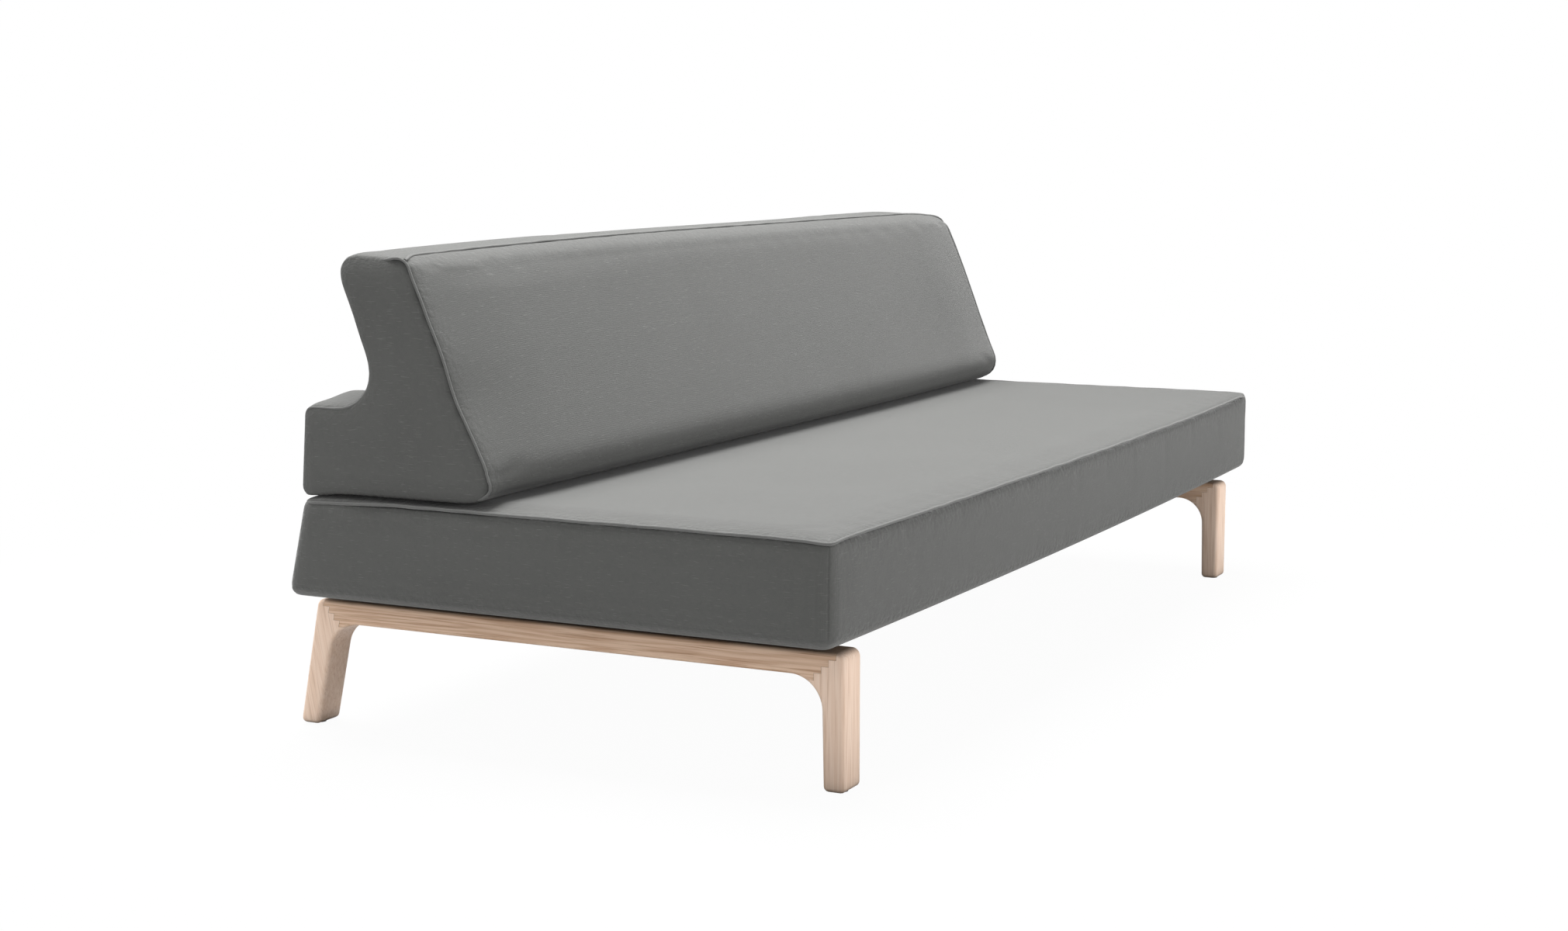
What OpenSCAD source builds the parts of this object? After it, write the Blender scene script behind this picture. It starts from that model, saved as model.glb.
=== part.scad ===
// Armless sofa bed. A foam seat rests on two ash leg frames, and a loose Z-shaped back cushion
// stands on the seat. Z is up, X runs along the length and the front faces -Y.
// The origin is on the floor under the middle of the sofa.

/* [Overall] */
// Length of the seat and of the back cushion
sofa_l = 2000; // [1500:10:2200]
// Depth from the seat's front face to the heels of the rear feet
sofa_d = 943; // [880:1:1050]

/* [Seat] */
// Depth of the seat's top between its front and rear edge seams
seat_top_d = 853; // [760:1:900]
// Thickness of the seat in its middle
seat_h = 156; // [130:1:220]
// Lean of the seat's rear face, out towards the bottom
seat_rear_lean = 13; // [0:1:15]
// Rise of the top from its edge seam to its middle
seat_crown = 12; // [3:0.5:16]
// Distance over which the top rises
seat_crown_reach = 60; // [60:5:200]
// Bow of the front and rear faces, in the middle of the sofa's length
seat_bow = 14; // [4:1:24]
// Swell of the four side faces
seat_bulge = 3; // [1:0.5:8]
// Radius of the four upright corners
seat_corner_r = 24; // [12:1:40]
// Radius of the bottom edge, which ends at the bottom seam
seat_edge_r = 14; // [8:1:22]

/* [Back cushion] */
// Height of the back cushion at its end seams
back_h = 343; // [280:1:450]
// Depth of the foot between its sharp front and rear corners
foot_d = 345; // [300:1:420]
// Height of the foot, from the seat to the ledge
foot_h = 121; // [105:1:170]
// How far the foot's rear face leans in at the ledge
foot_lean_in = 12; // [0:1:20]
// Depth of the ledge, to the sharp corner of the cove
ledge_d = 139; // [110:1:150]
// Lean of the front face from upright
front_lean = 24; // [18:1:28]
// Lean of the rear face above the ledge
rear_lean = 21; // [18:1:24]
// How far the foot's rear face stands behind the seat's rear seam
back_overhang = 8; // [0:1:15]
// How far the end panels stand inside the seat's ends
back_inset = 12; // [0:1:60]
// Swell of the cushion between its end seams
back_crown = 12; // [3:0.5:14]
// Distance over which the cushion swells
back_crown_reach = 220; // [60:5:300]
// Swell of the two end panels
end_bulge = 3; // [1:0.5:8]
// Radius of the front lower edge
nose_r = 42; // [20:1:60]
// Radius of the foot's rear lower edge
heel_r = 14; // [10:1:20]
// Radius of the ledge's rear edge
ledge_r = 14; // [10:1:20]
// Radius of the cove above the ledge
cove_r = 60; // [30:1:70]
// Radius of the top's rear edge
crest_r = 32; // [16:1:40]
// Radius of the top's front edge
brow_r = 22; // [14:1:30]

/* [Cover] */
// Thickness of the cover cloth
cover_t = 1.6; // [1:0.1:2.5]
// Ease between the cloth, the foam and the timber
ease = 0.3; // [0.2:0.05:0.5]
// Thickness of the corded seams
welt_d = 4.4; // [3:0.2:6]

/* [Leg frames] */
// Distance of each leg frame from the end of the seat
frame_inset = 84; // [40:1:200]
// Width of the rails and legs along the sofa
rail_w = 55; // [45:1:80]
// Height of the rails
rail_h = 35; // [32:1:50]
// Height of the rails' top above the floor
rail_top = 196; // [170:1:260]
// Setback of the front legs from the seat's front
leg_setback = 35; // [5:1:60]
// Thickness of the legs at the rail
leg_top_t = 37; // [32:1:50]
// Thickness of the legs at the foot
leg_foot_t = 33; // [28:1:45]
// Splay of the rear legs
rear_splay = 11; // [0:1:16]
// Radius inside the corners between rail and leg
inside_r = 48; // [30:1:60]
// Radius outside those corners
outside_r = 12; // [8:1:20]
// Radius of the long edges
edge_r = 5; // [3:0.5:7]

/* [Comb joints] */
// Leg wood in front of the joint's first step
joint_first = 13; // [9:1:16]
// Run of each step along the rail
joint_run = 11; // [9:1:13]
// Drop of each step
joint_drop = 10; // [8:1:12]
// Number of steps
joint_steps = 6; // [6:1:8]

/* [Seat frame] */
// Foam between the cover and the timber frame
skirt_t = 26; // [20:1:40]
// Height of the front, rear and end beams
beam_h = 60; // [50:1:80]
// Thickness of those beams
beam_t = 25; // [20:1:35]
// Width of the bearers over the leg frames
bearer_w = 70; // [60:1:100]
// Height of the bearers
bearer_h = 45; // [38:1:48]
// Width of the middle bearer
mid_bearer_w = 25; // [20:1:40]
// Leg length of the corner blocks
block_l = 60; // [50:1:80]
// Number of slats
slat_count = 13; // [9:1:15]
// Width of a slat
slat_w = 53; // [40:1:60]
// Thickness of a slat
slat_t = 8; // [6:1:10]
// Length of a slat that rests in each beam
slat_seat = 15; // [10:1:18]

/* [Back boards] */
// Thickness of the plywood boards
board_t = 12; // [9:1:15]
// Foam between the end panels and the boards
board_end = 45; // [30:1:80]
// Foam in front of the base board
board_front = 75; // [60:1:100]
// Foam behind the base board
board_rear = 24; // [18:1:40]
// How far the foot of the upright board stands in front of the cove's corner
upright_setback = 44; // [36:1:90]
// Lean of the upright board
upright_lean = 14; // [8:1:16]
// Foam above the upright board
board_over = 44; // [36:1:90]
// Number of ribs behind the upright board
rib_count = 4; // [2:1:6]
// Thickness of a rib
rib_t = 15; // [12:1:20]
// Height of a rib at the upright board
rib_h = 95; // [60:1:100]
// Height of a rib at its rear end
rib_tail_h = 45; // [30:1:55]

/* [Fixings] */
// Thickness of the spacers between rail and seat
spacer_t = 18; // [8:1:25]
// Diameter of the spacers
spacer_d = 40; // [30:1:50]
// Diameter of the bolts
bolt_d = 8; // [6:1:10]
// Diameter of the bolt heads
bolt_head_d = 13; // [11:1:16]
// Height of the bolt heads
bolt_head_h = 8; // [6:1:10]
// Hexagon socket across its corners
socket_d = 7; // [5:0.5:8]
// Thickness of the washers
washer_t = 1.6; // [1:0.2:2.5]
// Diameter of the washers
washer_d = 18; // [17:1:22]
// Depth of the bolt holes' wide part
bolt_sink = 14; // [12:1:18]
// Diameter of a tee nut's barrel
tee_d = 11; // [11:0.5:14]
// Length of a tee nut's barrel
tee_l = 12; // [9:1:16]
// Diameter of a tee nut's flange
tee_flange_d = 22; // [18:1:26]
// Thickness of a tee nut's flange
tee_flange_t = 1.5; // [1:0.1:2]
// Diameter of the wood screws
screw_d = 4.5; // [3:0.5:6]
// Length of the wood screws
screw_l = 50; // [40:1:55]
// Diameter of the screw heads
screw_head_d = 9; // [8:0.5:12]
// Thickness of the glides under the feet
glide_t = 2.5; // [1.5:0.5:5]
// Diameter of the glides
glide_d = 18; // [14:1:22]
// Diameter of a glide's nail
nail_d = 3; // [2:0.5:4]
// Length of a glide's nail
nail_l = 16; // [10:1:25]

/* [Hidden] */

$fn = 48;
over = 1;                                  // overrun of every cut
wool = [0.48, 0.48, 0.47];
ash = [0.84, 0.72, 0.61];

// Heights
seat_z = rail_top + spacer_t;              // underside of the seat
seat_top_z = seat_z + seat_h;
seam_z = seat_top_z - seat_crown;          // edge seam round the seat's top
back_z = seat_top_z + ease;                // underside of the back cushion

// Plan
seat_half_l = sofa_l / 2 - seat_bulge;
seat_front_y = -sofa_d / 2 + seat_bow + seat_bulge;    // at the corners
seat_rear_y = seat_front_y + seat_top_d;   // at the edge seam
skin = cover_t + ease;                     // from the cloth's face to the foam's
welt_r = welt_d / 2;
welt_gap = welt_r + ease;                  // from a corded seam's centre to the panels beside it

// Helpers

function unit(v) = v / norm(v);
function reversed(list) = [for (i = [len(list) - 1:-1:0]) list[i]];
function flat(lists) = [for (list = lists) each list];

// Rise of a swelling form at a distance from its edge, 0 at the edge and 1 past the reach
function swell(distance, reach) = 1 - pow(1 - min(distance / reach, 1), 2);

// Points [y, z, normal y, normal z] of the arc that rounds corner b of an outline that runs
// counter-clockwise through a, b and c. A hollow corner's normals point out of the form as well.
function round_corner(a, b, c, r, n) =
  let (u = unit(a - b), w = unit(c - b), half = acos(u * w) / 2,
       centre = b + unit(u + w) * r / sin(half), turn = 180 - 2 * half,
       from = unit(b + u * r / tan(half) - centre), to = unit(b + w * r / tan(half) - centre),
       out = cross(b - a, c - b) > 0 ? 1 : -1)
  [for (i = [0:n - 1])
    let (t = turn * i / (n - 1), d = (from * sin(turn - t) + to * sin(t)) / sin(turn),
         p = centre + d * r)
    [p[0], p[1], out * d[0], out * d[1]]];

// Points on the straight side between two arcs, at shares of its length
function side_points(from, to, shares) = [for (t = shares) from * (1 - t) + to * t];
half_share = [1 / 2];
third_shares = [1 / 3, 2 / 3];

// A face pair for each cell of a grid of rows by cols points. Rows may close on themselves.
function grid_faces(rows, cols, start, closed) =
  [for (r = [0:closed ? rows - 1 : rows - 2], c = [0:cols - 2])
    let (a = start + r * cols + c, b = start + ((r + 1) % rows) * cols + c)
    each [[a, a + 1, b + 1], [a, b + 1, b]]];
function turned(faces) = [for (f = faces) reversed(f)];
function wall_faces(border, shift, closed) =
  let (n = len(border))
  [for (i = [0:closed ? n - 1 : n - 2])
    let (a = border[i], b = border[(i + 1) % n])
    each [[a, b, b + shift], [a, b + shift, a + shift]]];

// A cut piece of cloth between two grids of points, its face and its back
module cloth_panel(face, back) {
  rows = len(face);
  cols = len(face[0]);
  total = rows * cols;
  border = concat([for (r = [0:rows - 1]) r * cols], [for (c = [1:cols - 1]) (rows - 1) * cols + c],
                  [for (r = [rows - 2:-1:0]) r * cols + cols - 1], [for (c = [cols - 2:-1:1]) c]);
  polyhedron(concat(flat(face), flat(back)),
             concat(grid_faces(rows, cols, 0, false), turned(grid_faces(rows, cols, total, false)),
                    wall_faces(border, total, true)));
}

// A closed cloth piece: rows of points run in from the border, and a fan fills the middle
module cloth_top(face, back, middle, thickness) {
  rows = len(face);
  cols = len(face[0]);
  total = rows * cols;
  rim = [for (r = [0:rows - 1]) r * cols + cols - 1];
  polyhedron(
    concat(flat(face), flat(back), [middle, middle + thickness]),
    concat(grid_faces(rows, cols, 0, true), turned(grid_faces(rows, cols, total, true)),
           wall_faces([for (r = [0:rows - 1]) r * cols], total, true),
           [for (i = [0:rows - 1])
             let (a = rim[i], b = rim[(i + 1) % rows])
             each [[a, 2 * total, b], [b + total, 2 * total + 1, a + total]]]));
}

// A solid between rings of 2 n points, whose ends are filled between points i and 2 n - 1 - i
module ring_solid(rings) {
  count = len(rings);
  size = len(rings[0]);
  last = (count - 1) * size;
  cap = [for (i = [0:size / 2 - 2])
          each [[i, i + 1, size - 2 - i], [i, size - 2 - i, size - 1 - i]]];
  polyhedron(flat(rings),
             concat([for (k = [0:count - 2], i = [0:size - 1])
                      let (a = k * size + i, b = k * size + (i + 1) % size)
                      each [[a, b + size, b], [a, a + size, b + size]]],
                    cap, [for (f = turned(cap)) [f[0] + last, f[1] + last, f[2] + last]]));
}

// A cord along a path that lies square to the direction up
module cord(path, up, closed) {
  sides = 6;
  count = len(path);
  rings = [for (i = [0:count - 1])
    let (before = closed ? path[(i + count - 1) % count] : path[max(i - 1, 0)],
         after = closed ? path[(i + 1) % count] : path[min(i + 1, count - 1)],
         side = unit(cross(unit(after - before), up)))
    [for (k = [0:sides - 1])
      path[i] + welt_r * (cos(360 * k / sides) * side + sin(360 * k / sides) * up)]];
  last = (count - 1) * sides;
  ends = closed ? [] : [for (k = [1:sides - 2])
    each [[0, k + 1, k], [last, last + k, last + k + 1]]];
  polyhedron(flat(rings),
             concat([for (i = [0:closed ? count - 1 : count - 2], k = [0:sides - 1])
                      let (a = i * sides + k, b = i * sides + (k + 1) % sides,
                           c = ((i + 1) % count) * sides + k,
                           d = ((i + 1) % count) * sides + (k + 1) % sides)
                      each [[a, d, c], [a, b, d]]],
                    ends));
}

// Leg frames

frame_front_y = -sofa_d / 2 + leg_setback;
frame_x = sofa_l / 2 - frame_inset - rail_w;          // inner face of each leg frame
foot_r = edge_r + over;
heel_y = sofa_d / 2 + foot_r * (tan(rear_splay) + 1 / cos(rear_splay) - 1);
frame_rear_y = heel_y - (rail_top - glide_t) * tan(rear_splay);
rail_z = rail_top - rail_h;
under_share = (rail_z - glide_t) / (rail_top - glide_t);
leg_under_t = leg_foot_t + (leg_top_t - leg_foot_t) * under_share;
rear_foot_y = heel_y - leg_foot_t / cos(rear_splay);
rear_under_y = heel_y - (rail_z - glide_t) * tan(rear_splay) - leg_under_t / cos(rear_splay);

// Corners of the leg frame's side view, counter-clockwise from the front foot
frame_corners = [[frame_front_y, glide_t], [frame_front_y + leg_foot_t, glide_t],
                 [frame_front_y + leg_under_t, rail_z], [rear_under_y, rail_z],
                 [rear_foot_y, glide_t], [heel_y, glide_t], [frame_rear_y, rail_top],
                 [frame_front_y, rail_top]];
frame_radii = [foot_r, foot_r, inside_r, inside_r, foot_r, foot_r, outside_r, outside_r];
foot_points = 3;
corner_points = 8;
frame_points = [foot_points, foot_points, corner_points, corner_points, foot_points, foot_points,
                corner_points, corner_points];
function frame_arc(i) =
  let (n = len(frame_corners))
  round_corner(frame_corners[(i + n - 1) % n], frame_corners[i], frame_corners[(i + 1) % n],
               frame_radii[i], frame_points[i]);
frame_outline = flat([for (i = [1, 2, 3, 4, 5, 6, 7, 0]) frame_arc(i)]);

// Across the width, each long edge is a quarter round in edge_steps facets
edge_steps = 3;
edge_rounds = [for (i = [0:edge_steps])
  [edge_r * (1 - cos(90 * i / edge_steps)), edge_r * (1 - sin(90 * i / edge_steps))]];
frame_sections = concat(edge_rounds, [for (s = reversed(edge_rounds)) [rail_w - s[0], s[1]]]);

module leg_frame_blank() {
  ring_solid([for (s = frame_sections)
    [for (p = frame_outline) [s[0], p[0] - s[1] * p[2], p[1] - s[1] * p[3]]]]);
}

// The stepped line of a comb joint, as distances along the rail and heights below its top
function comb_line(lean) = [for (k = [0:joint_steps - 1], e = [0, 1])
  [joint_first + k * joint_run - (k + e) * joint_drop * tan(lean), -(k + e) * joint_drop]];

// Everything on the leg's side of the comb joint, measured from the frame's outer corner
module leg_side(lean) {
  line = comb_line(lean);
  end = line[len(line) - 1];
  past = sofa_d / 2;                       // reaches past the splayed foot
  translate([-over, 0, 0])
    rotate([90, 0, 90])
      linear_extrude(rail_w + 2 * over)
        polygon(concat([[-past, over], [line[0][0], over]], line,
                       [[end[0], -rail_top], [-past, -rail_top]]));
}

module front_leg_side() { translate([0, frame_front_y, rail_top]) leg_side(0); }
module rear_leg_side() {
  translate([0, frame_rear_y, rail_top]) mirror([0, 1, 0]) leg_side(rear_splay);
}

// Bolts, glides and their holes

bolt_xs = [-frame_x - rail_w / 2, frame_x + rail_w / 2];
bolt_seat_z = rail_z + bolt_sink;          // under the washer
bolt_play = 0.5;                           // round the shanks and heads
timber_z = seat_z + skin;                  // underside of the seat's timber frame
bearer_top_z = timber_z + bearer_h;
glide_front_y = frame_front_y + leg_foot_t / 2;
glide_rear_y = (rear_foot_y + heel_y) / 2;
nail_play = 0.1;

module at_bolts() {
  for (x = bolt_xs, y = bolt_ys) translate([x, y, 0]) children();
}

module bolt_hole(z, h, play) {
  at_bolts() translate([0, 0, z]) cylinder(d = bolt_d + 2 * play, h = h);
}

module rail(x) {
  color(ash)
    difference() {
      translate([x, 0, 0])
        difference() {
          leg_frame_blank();
          front_leg_side();
          rear_leg_side();
        }
      bolt_hole(rail_z - over, rail_h + 2 * over, bolt_play);
      at_bolts()
        translate([0, 0, rail_z - over]) cylinder(d = washer_d + 2 * bolt_play, h = bolt_sink + over);
    }
}
module left_rail() { rail(-frame_x - rail_w); }
module right_rail() { rail(frame_x); }

module nail_hole(x, y) {
  translate([x + rail_w / 2, y, glide_t - over])
    cylinder(d = nail_d + 2 * nail_play, h = nail_l + nail_play + over);
}

module front_leg(x) {
  color(ash)
    difference() {
      translate([x, 0, 0]) intersection() {
        leg_frame_blank();
        front_leg_side();
      }
      nail_hole(x, glide_front_y);
    }
}
module left_front_leg() { front_leg(-frame_x - rail_w); }
module right_front_leg() { front_leg(frame_x); }

module rear_leg(x) {
  color(ash)
    difference() {
      translate([x, 0, 0]) intersection() {
        leg_frame_blank();
        rear_leg_side();
      }
      nail_hole(x, glide_rear_y);
    }
}
module left_rear_leg() { rear_leg(-frame_x - rail_w); }
module right_rear_leg() { rear_leg(frame_x); }

module foot_glides() {
  color("dimgray")
    for (x = bolt_xs, y = [glide_front_y, glide_rear_y])
      translate([x, y, 0]) {
        cylinder(d = glide_d, h = glide_t);
        cylinder(d = nail_d, h = glide_t + nail_l);
      }
}

module rail_bolts() {
  color("silver")
    at_bolts()
      difference() {
        union() {
          translate([0, 0, bolt_seat_z - washer_t - bolt_head_h])
            cylinder(d = bolt_head_d, h = bolt_head_h);
          translate([0, 0, bolt_seat_z - washer_t - over])
            cylinder(d = bolt_d, h = bearer_top_z - bolt_seat_z + washer_t + over);
        }
        translate([0, 0, bolt_seat_z - washer_t - bolt_head_h - over])
          cylinder(d = socket_d, h = bolt_head_h / 2 + over, $fn = 6);
      }
}

module bolt_washers() {
  color("silver")
    at_bolts()
      translate([0, 0, bolt_seat_z - washer_t])
        difference() {
          cylinder(d = washer_d, h = washer_t);
          translate([0, 0, -over]) cylinder(d = bolt_d + ease, h = washer_t + 2 * over);
        }
}

module seat_spacers() {
  color([0.12, 0.12, 0.12])
    difference() {
      at_bolts() translate([0, 0, rail_top]) cylinder(d = spacer_d, h = spacer_t);
      bolt_hole(rail_top - over, spacer_t + 2 * over, bolt_play);
    }
}

module tee_nuts() {
  color("silver")
    difference() {
      at_bolts() {
        translate([0, 0, bearer_top_z]) cylinder(d = tee_flange_d, h = tee_flange_t);
        translate([0, 0, bearer_top_z - tee_l]) cylinder(d = tee_d, h = tee_l + tee_flange_t);
      }
      bolt_hole(bearer_top_z - tee_l - over, tee_l + tee_flange_t + 2 * over, ease / 2);
    }
}

// Timber frame inside the seat

timber_half_l = seat_half_l - skirt_t;
timber_front_y = seat_front_y + skirt_t;
timber_rear_y = seat_rear_y - skirt_t / 2; // the leaning rear face leaves the rest of the skirt
timber_in_l = 2 * (timber_half_l - beam_t);
timber_in_front_y = timber_front_y + beam_t;
timber_in_rear_y = timber_rear_y - beam_t;
timber_in_d = timber_in_rear_y - timber_in_front_y;
timber_mid_y = (timber_front_y + timber_rear_y) / 2;
// The bolts stand where bearers and rails both run
bolt_shares = [0.14, 0.5, 0.86];
bolt_front_y = max(timber_in_front_y, frame_front_y);
bolt_rear_y = min(timber_in_rear_y, frame_rear_y);
bolt_ys = [for (s = bolt_shares) bolt_front_y + s * (bolt_rear_y - bolt_front_y)];
slat_z = timber_z + beam_h - slat_t;
slat_play = 0.5;
slat_pitch = timber_in_l / slat_count;
function slat_x(i) = -timber_in_l / 2 + (i - 0.5) * slat_pitch;
screw_play = 0.2;                          // round each screw in its hole
screw_side_share = 0.3;                    // height of the lower screw of each pair on its beam
screw_zs = [timber_z + bearer_h * screw_side_share, timber_z + bearer_h * (1 - screw_side_share)];
bearer_screw_xs = [bolt_xs[0], 0, bolt_xs[1]];

// A countersunk screw along +Z whose head lies flush at the origin, or its hole where there is play
module screw(play) {
  cylinder(d = screw_d + 2 * play, h = screw_l + play);
  cylinder(d1 = screw_head_d + 2 * play, d2 = screw_d + 2 * play, h = (screw_head_d - screw_d) / 2);
  if (play > 0)
    translate([0, 0, -screw_head_d]) cylinder(d = screw_head_d + 2 * play, h = screw_head_d);
}

// Screws through the front and rear beams into the end beams and bearers
module beam_screws(play) {
  end_x = timber_half_l - beam_t / 2;
  for (x = concat(bearer_screw_xs, [-end_x, end_x]), z = screw_zs) {
    translate([x, timber_front_y, z]) rotate([-90, 0, 0]) screw(play);
    translate([x, timber_rear_y, z]) rotate([90, 0, 0]) screw(play);
  }
}

module frame_screws() { color("silver") beam_screws(0); }

module slat_shape(play) {
  w = slat_w + 2 * play;
  eased_r = slat_t / 4;                     // eased long edges
  l = timber_in_d + 2 * slat_seat + 2 * play;
  rotate([90, 0, 0])
    linear_extrude(l, center = true)
      if (play > 0) {
        translate([-w / 2, 0]) square([w, slat_t + over]);
      } else {
        translate([-w / 2 + eased_r, 0]) square([w - 2 * eased_r, slat_t]);
        translate([-w / 2, eased_r]) square([w, slat_t - 2 * eased_r]);
        for (x = [-w / 2 + eased_r, w / 2 - eased_r], z = [eased_r, slat_t - eased_r])
          translate([x, z]) circle(eased_r);
      }
}

module slat(i) {
  color([0.86, 0.74, 0.58]) translate([slat_x(i), timber_mid_y, slat_z]) slat_shape(0);
}

module long_beam(y) {
  color([0.8, 0.68, 0.5])
    difference() {
      translate([-timber_half_l, y, timber_z]) cube([2 * timber_half_l, beam_t, beam_h]);
      for (i = [1:slat_count])
        translate([slat_x(i), timber_mid_y, slat_z]) slat_shape(slat_play);
      beam_screws(screw_play);
    }
}
module front_beam() { long_beam(timber_front_y); }
module rear_beam() { long_beam(timber_in_rear_y); }

module cross_timber(x, w, h) {
  color([0.8, 0.68, 0.5])
    difference() {
      translate([x - w / 2, timber_in_front_y, timber_z]) cube([w, timber_in_d, h]);
      beam_screws(screw_play);
      bolt_hole(timber_z - over, h + 2 * over, bolt_play);
      at_bolts() translate([0, 0, bearer_top_z - tee_l - ease])
        cylinder(d = tee_d + ease, h = tee_l + ease + over);
    }
}
module left_end_beam() { cross_timber(-timber_half_l + beam_t / 2, beam_t, beam_h); }
module right_end_beam() { cross_timber(timber_half_l - beam_t / 2, beam_t, beam_h); }
module left_bearer() { cross_timber(bolt_xs[0], bearer_w, bearer_h); }
module right_bearer() { cross_timber(bolt_xs[1], bearer_w, bearer_h); }
module middle_bearer() { cross_timber(0, mid_bearer_w, bearer_h); }

// Triangular blocks glued into the middle bearer's corners, where no bolt or slat is in the way
module corner_blocks() {
  color([0.8, 0.68, 0.5])
    for (sx = [0, 1], sy = [0, 1])
      mirror([sx, 0, 0])
        translate([mid_bearer_w / 2, sy == 0 ? timber_in_front_y : timber_in_rear_y, timber_z])
          mirror([0, sy, 0])
            linear_extrude(bearer_h) polygon([[0, 0], [block_l, 0], [0, block_l]]);
}

// Seat foam and cover

corner_ps = 4;                             // points round each upright corner
long_shares = [0.06, 0.2, 0.4, 0.6, 0.8, 0.94];
short_shares = [0.15, 0.5, 0.85];

function seat_rear(z) = seat_rear_y + (seam_z - z) * tan(seat_rear_lean);

// One level of the seat: its outline at a height, drawn in by an inset. The long sides bow, and all
// four sides swell by a bulge.
function seat_loop(inset, z, bulge) =
  let (r = max(seat_corner_r - inset, welt_d), x = seat_half_l - inset,
       y0 = seat_front_y + inset, y1 = seat_rear(z) - inset,
       arc = function(cx, cy, start) [for (i = [0:corner_ps - 1])
         let (a = start + 90 * i / (corner_ps - 1)) [cx + r * cos(a), cy + r * sin(a), z]],
       side = function(a, b, out, shares) [for (s = shares)
         let (p = a * (1 - s) + b * s, q = out * 4 * s * (1 - s))
         [p[0] + q[0], p[1] + q[1], z]],
       bow = [0, seat_bow + bulge], swelled = [bulge, 0])
  concat(arc(-x + r, y0 + r, 180), side([-x + r, y0], [x - r, y0], -bow, long_shares),
         arc(x - r, y0 + r, 270), side([x, y0 + r], [x, y1 - r], swelled, short_shares),
         arc(x - r, y1 - r, 0), side([x - r, y1], [-x + r, y1], bow, long_shares),
         arc(-x + r, y1 - r, 90), side([-x, y1 - r], [-x, y0 + r], -swelled, short_shares));

// Levels of the seat's skin: inset, height above the underside, how far its normal points out,
// how far it points up, and its share of the sides' swell
seam_h = seam_z - seat_z;
bottom_in = seat_edge_r + seat_crown_reach / 2;
bottom_levels = [[bottom_in, 0, 0, -1, 0], [seat_edge_r, 0, 0, -1, 0],
                 [seat_edge_r * (1 - sin(45)), seat_edge_r * (1 - cos(45)), sin(45), -cos(45), 0],
                 [0, seat_edge_r, 1, 0, 0]];
side_h = seam_h - welt_gap - seat_edge_r;
mid_shares = [0.3, 0.5, 0.75];
side_levels = concat([bottom_levels[3]],
                     [for (s = mid_shares) [0, seat_edge_r + s * side_h, 1, 0, 4 * s * (1 - s)]],
                     [[0, seam_h - welt_gap, 1, 0, 0]]);
reach_shares = [0.12, 0.3, 0.6, 1];
top_start = 2 * welt_gap;
top_levels = [for (s = concat([top_start / seat_crown_reach], reach_shares))
  [s * seat_crown_reach, seam_h + seat_crown * swell(s, 1), 0, 1, 0]];

// A level's outline, at a depth under the cloth's face
function skin_loop(level, depth) =
  seat_loop(level[0] + depth * level[2], seat_z + level[1] - depth * level[3], seat_bulge * level[4]);
function across(loops) =                   // loops of points turned into rows from loop to loop
  [for (i = [0:len(loops[0]) - 1]) [for (loop = loops) loop[i]]];

loop_size = 4 * corner_ps + 2 * len(long_shares) + 2 * len(short_shares);
corner_mid = floor(corner_ps / 2);         // the upright seam lies in the middle of a corner
side_starts = [corner_mid, corner_mid + corner_ps + len(long_shares),
               corner_mid + 2 * corner_ps + len(long_shares) + len(short_shares),
               corner_mid + 3 * corner_ps + 2 * len(long_shares) + len(short_shares),
               corner_mid + loop_size];

// The panel between upright seams k and k + 1
module seat_side_panel(k) {
  face = across([for (level = side_levels) skin_loop(level, 0)]);
  back = across([for (level = side_levels) skin_loop(level, cover_t)]);
  span = [for (i = [side_starts[k]:side_starts[k + 1]]) i % loop_size];
  color(wool) cloth_panel([for (i = span) face[i]], [for (i = span) back[i]]);
}
module seat_front_panel() { seat_side_panel(0); }
module seat_right_panel() { seat_side_panel(1); }
module seat_rear_panel() { seat_side_panel(2); }
module seat_left_panel() { seat_side_panel(3); }

module seat_top_panel() {
  color(wool)
    cloth_top(across([for (level = top_levels) skin_loop(level, 0)]),
              across([for (level = top_levels) skin_loop(level, cover_t)]),
              [0, (seat_front_y + seat_rear_y) / 2, seat_top_z], [0, 0, -cover_t]);
}

module seat_bottom_panel() {
  levels = reversed(bottom_levels);
  color(wool)
    difference() {
      cloth_top(reversed(across([for (level = levels) skin_loop(level, 0)])),
                reversed(across([for (level = levels) skin_loop(level, cover_t)])),
                [0, (seat_front_y + seat_rear_y) / 2, seat_z], [0, 0, cover_t]);
      bolt_hole(seat_z - over, cover_t + 2 * over, bolt_play);
    }
}

module seat_welt() {
  color(wool) cord(seat_loop(ease, seam_z + ease, 0), [0, 0, 1], true);
}

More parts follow.
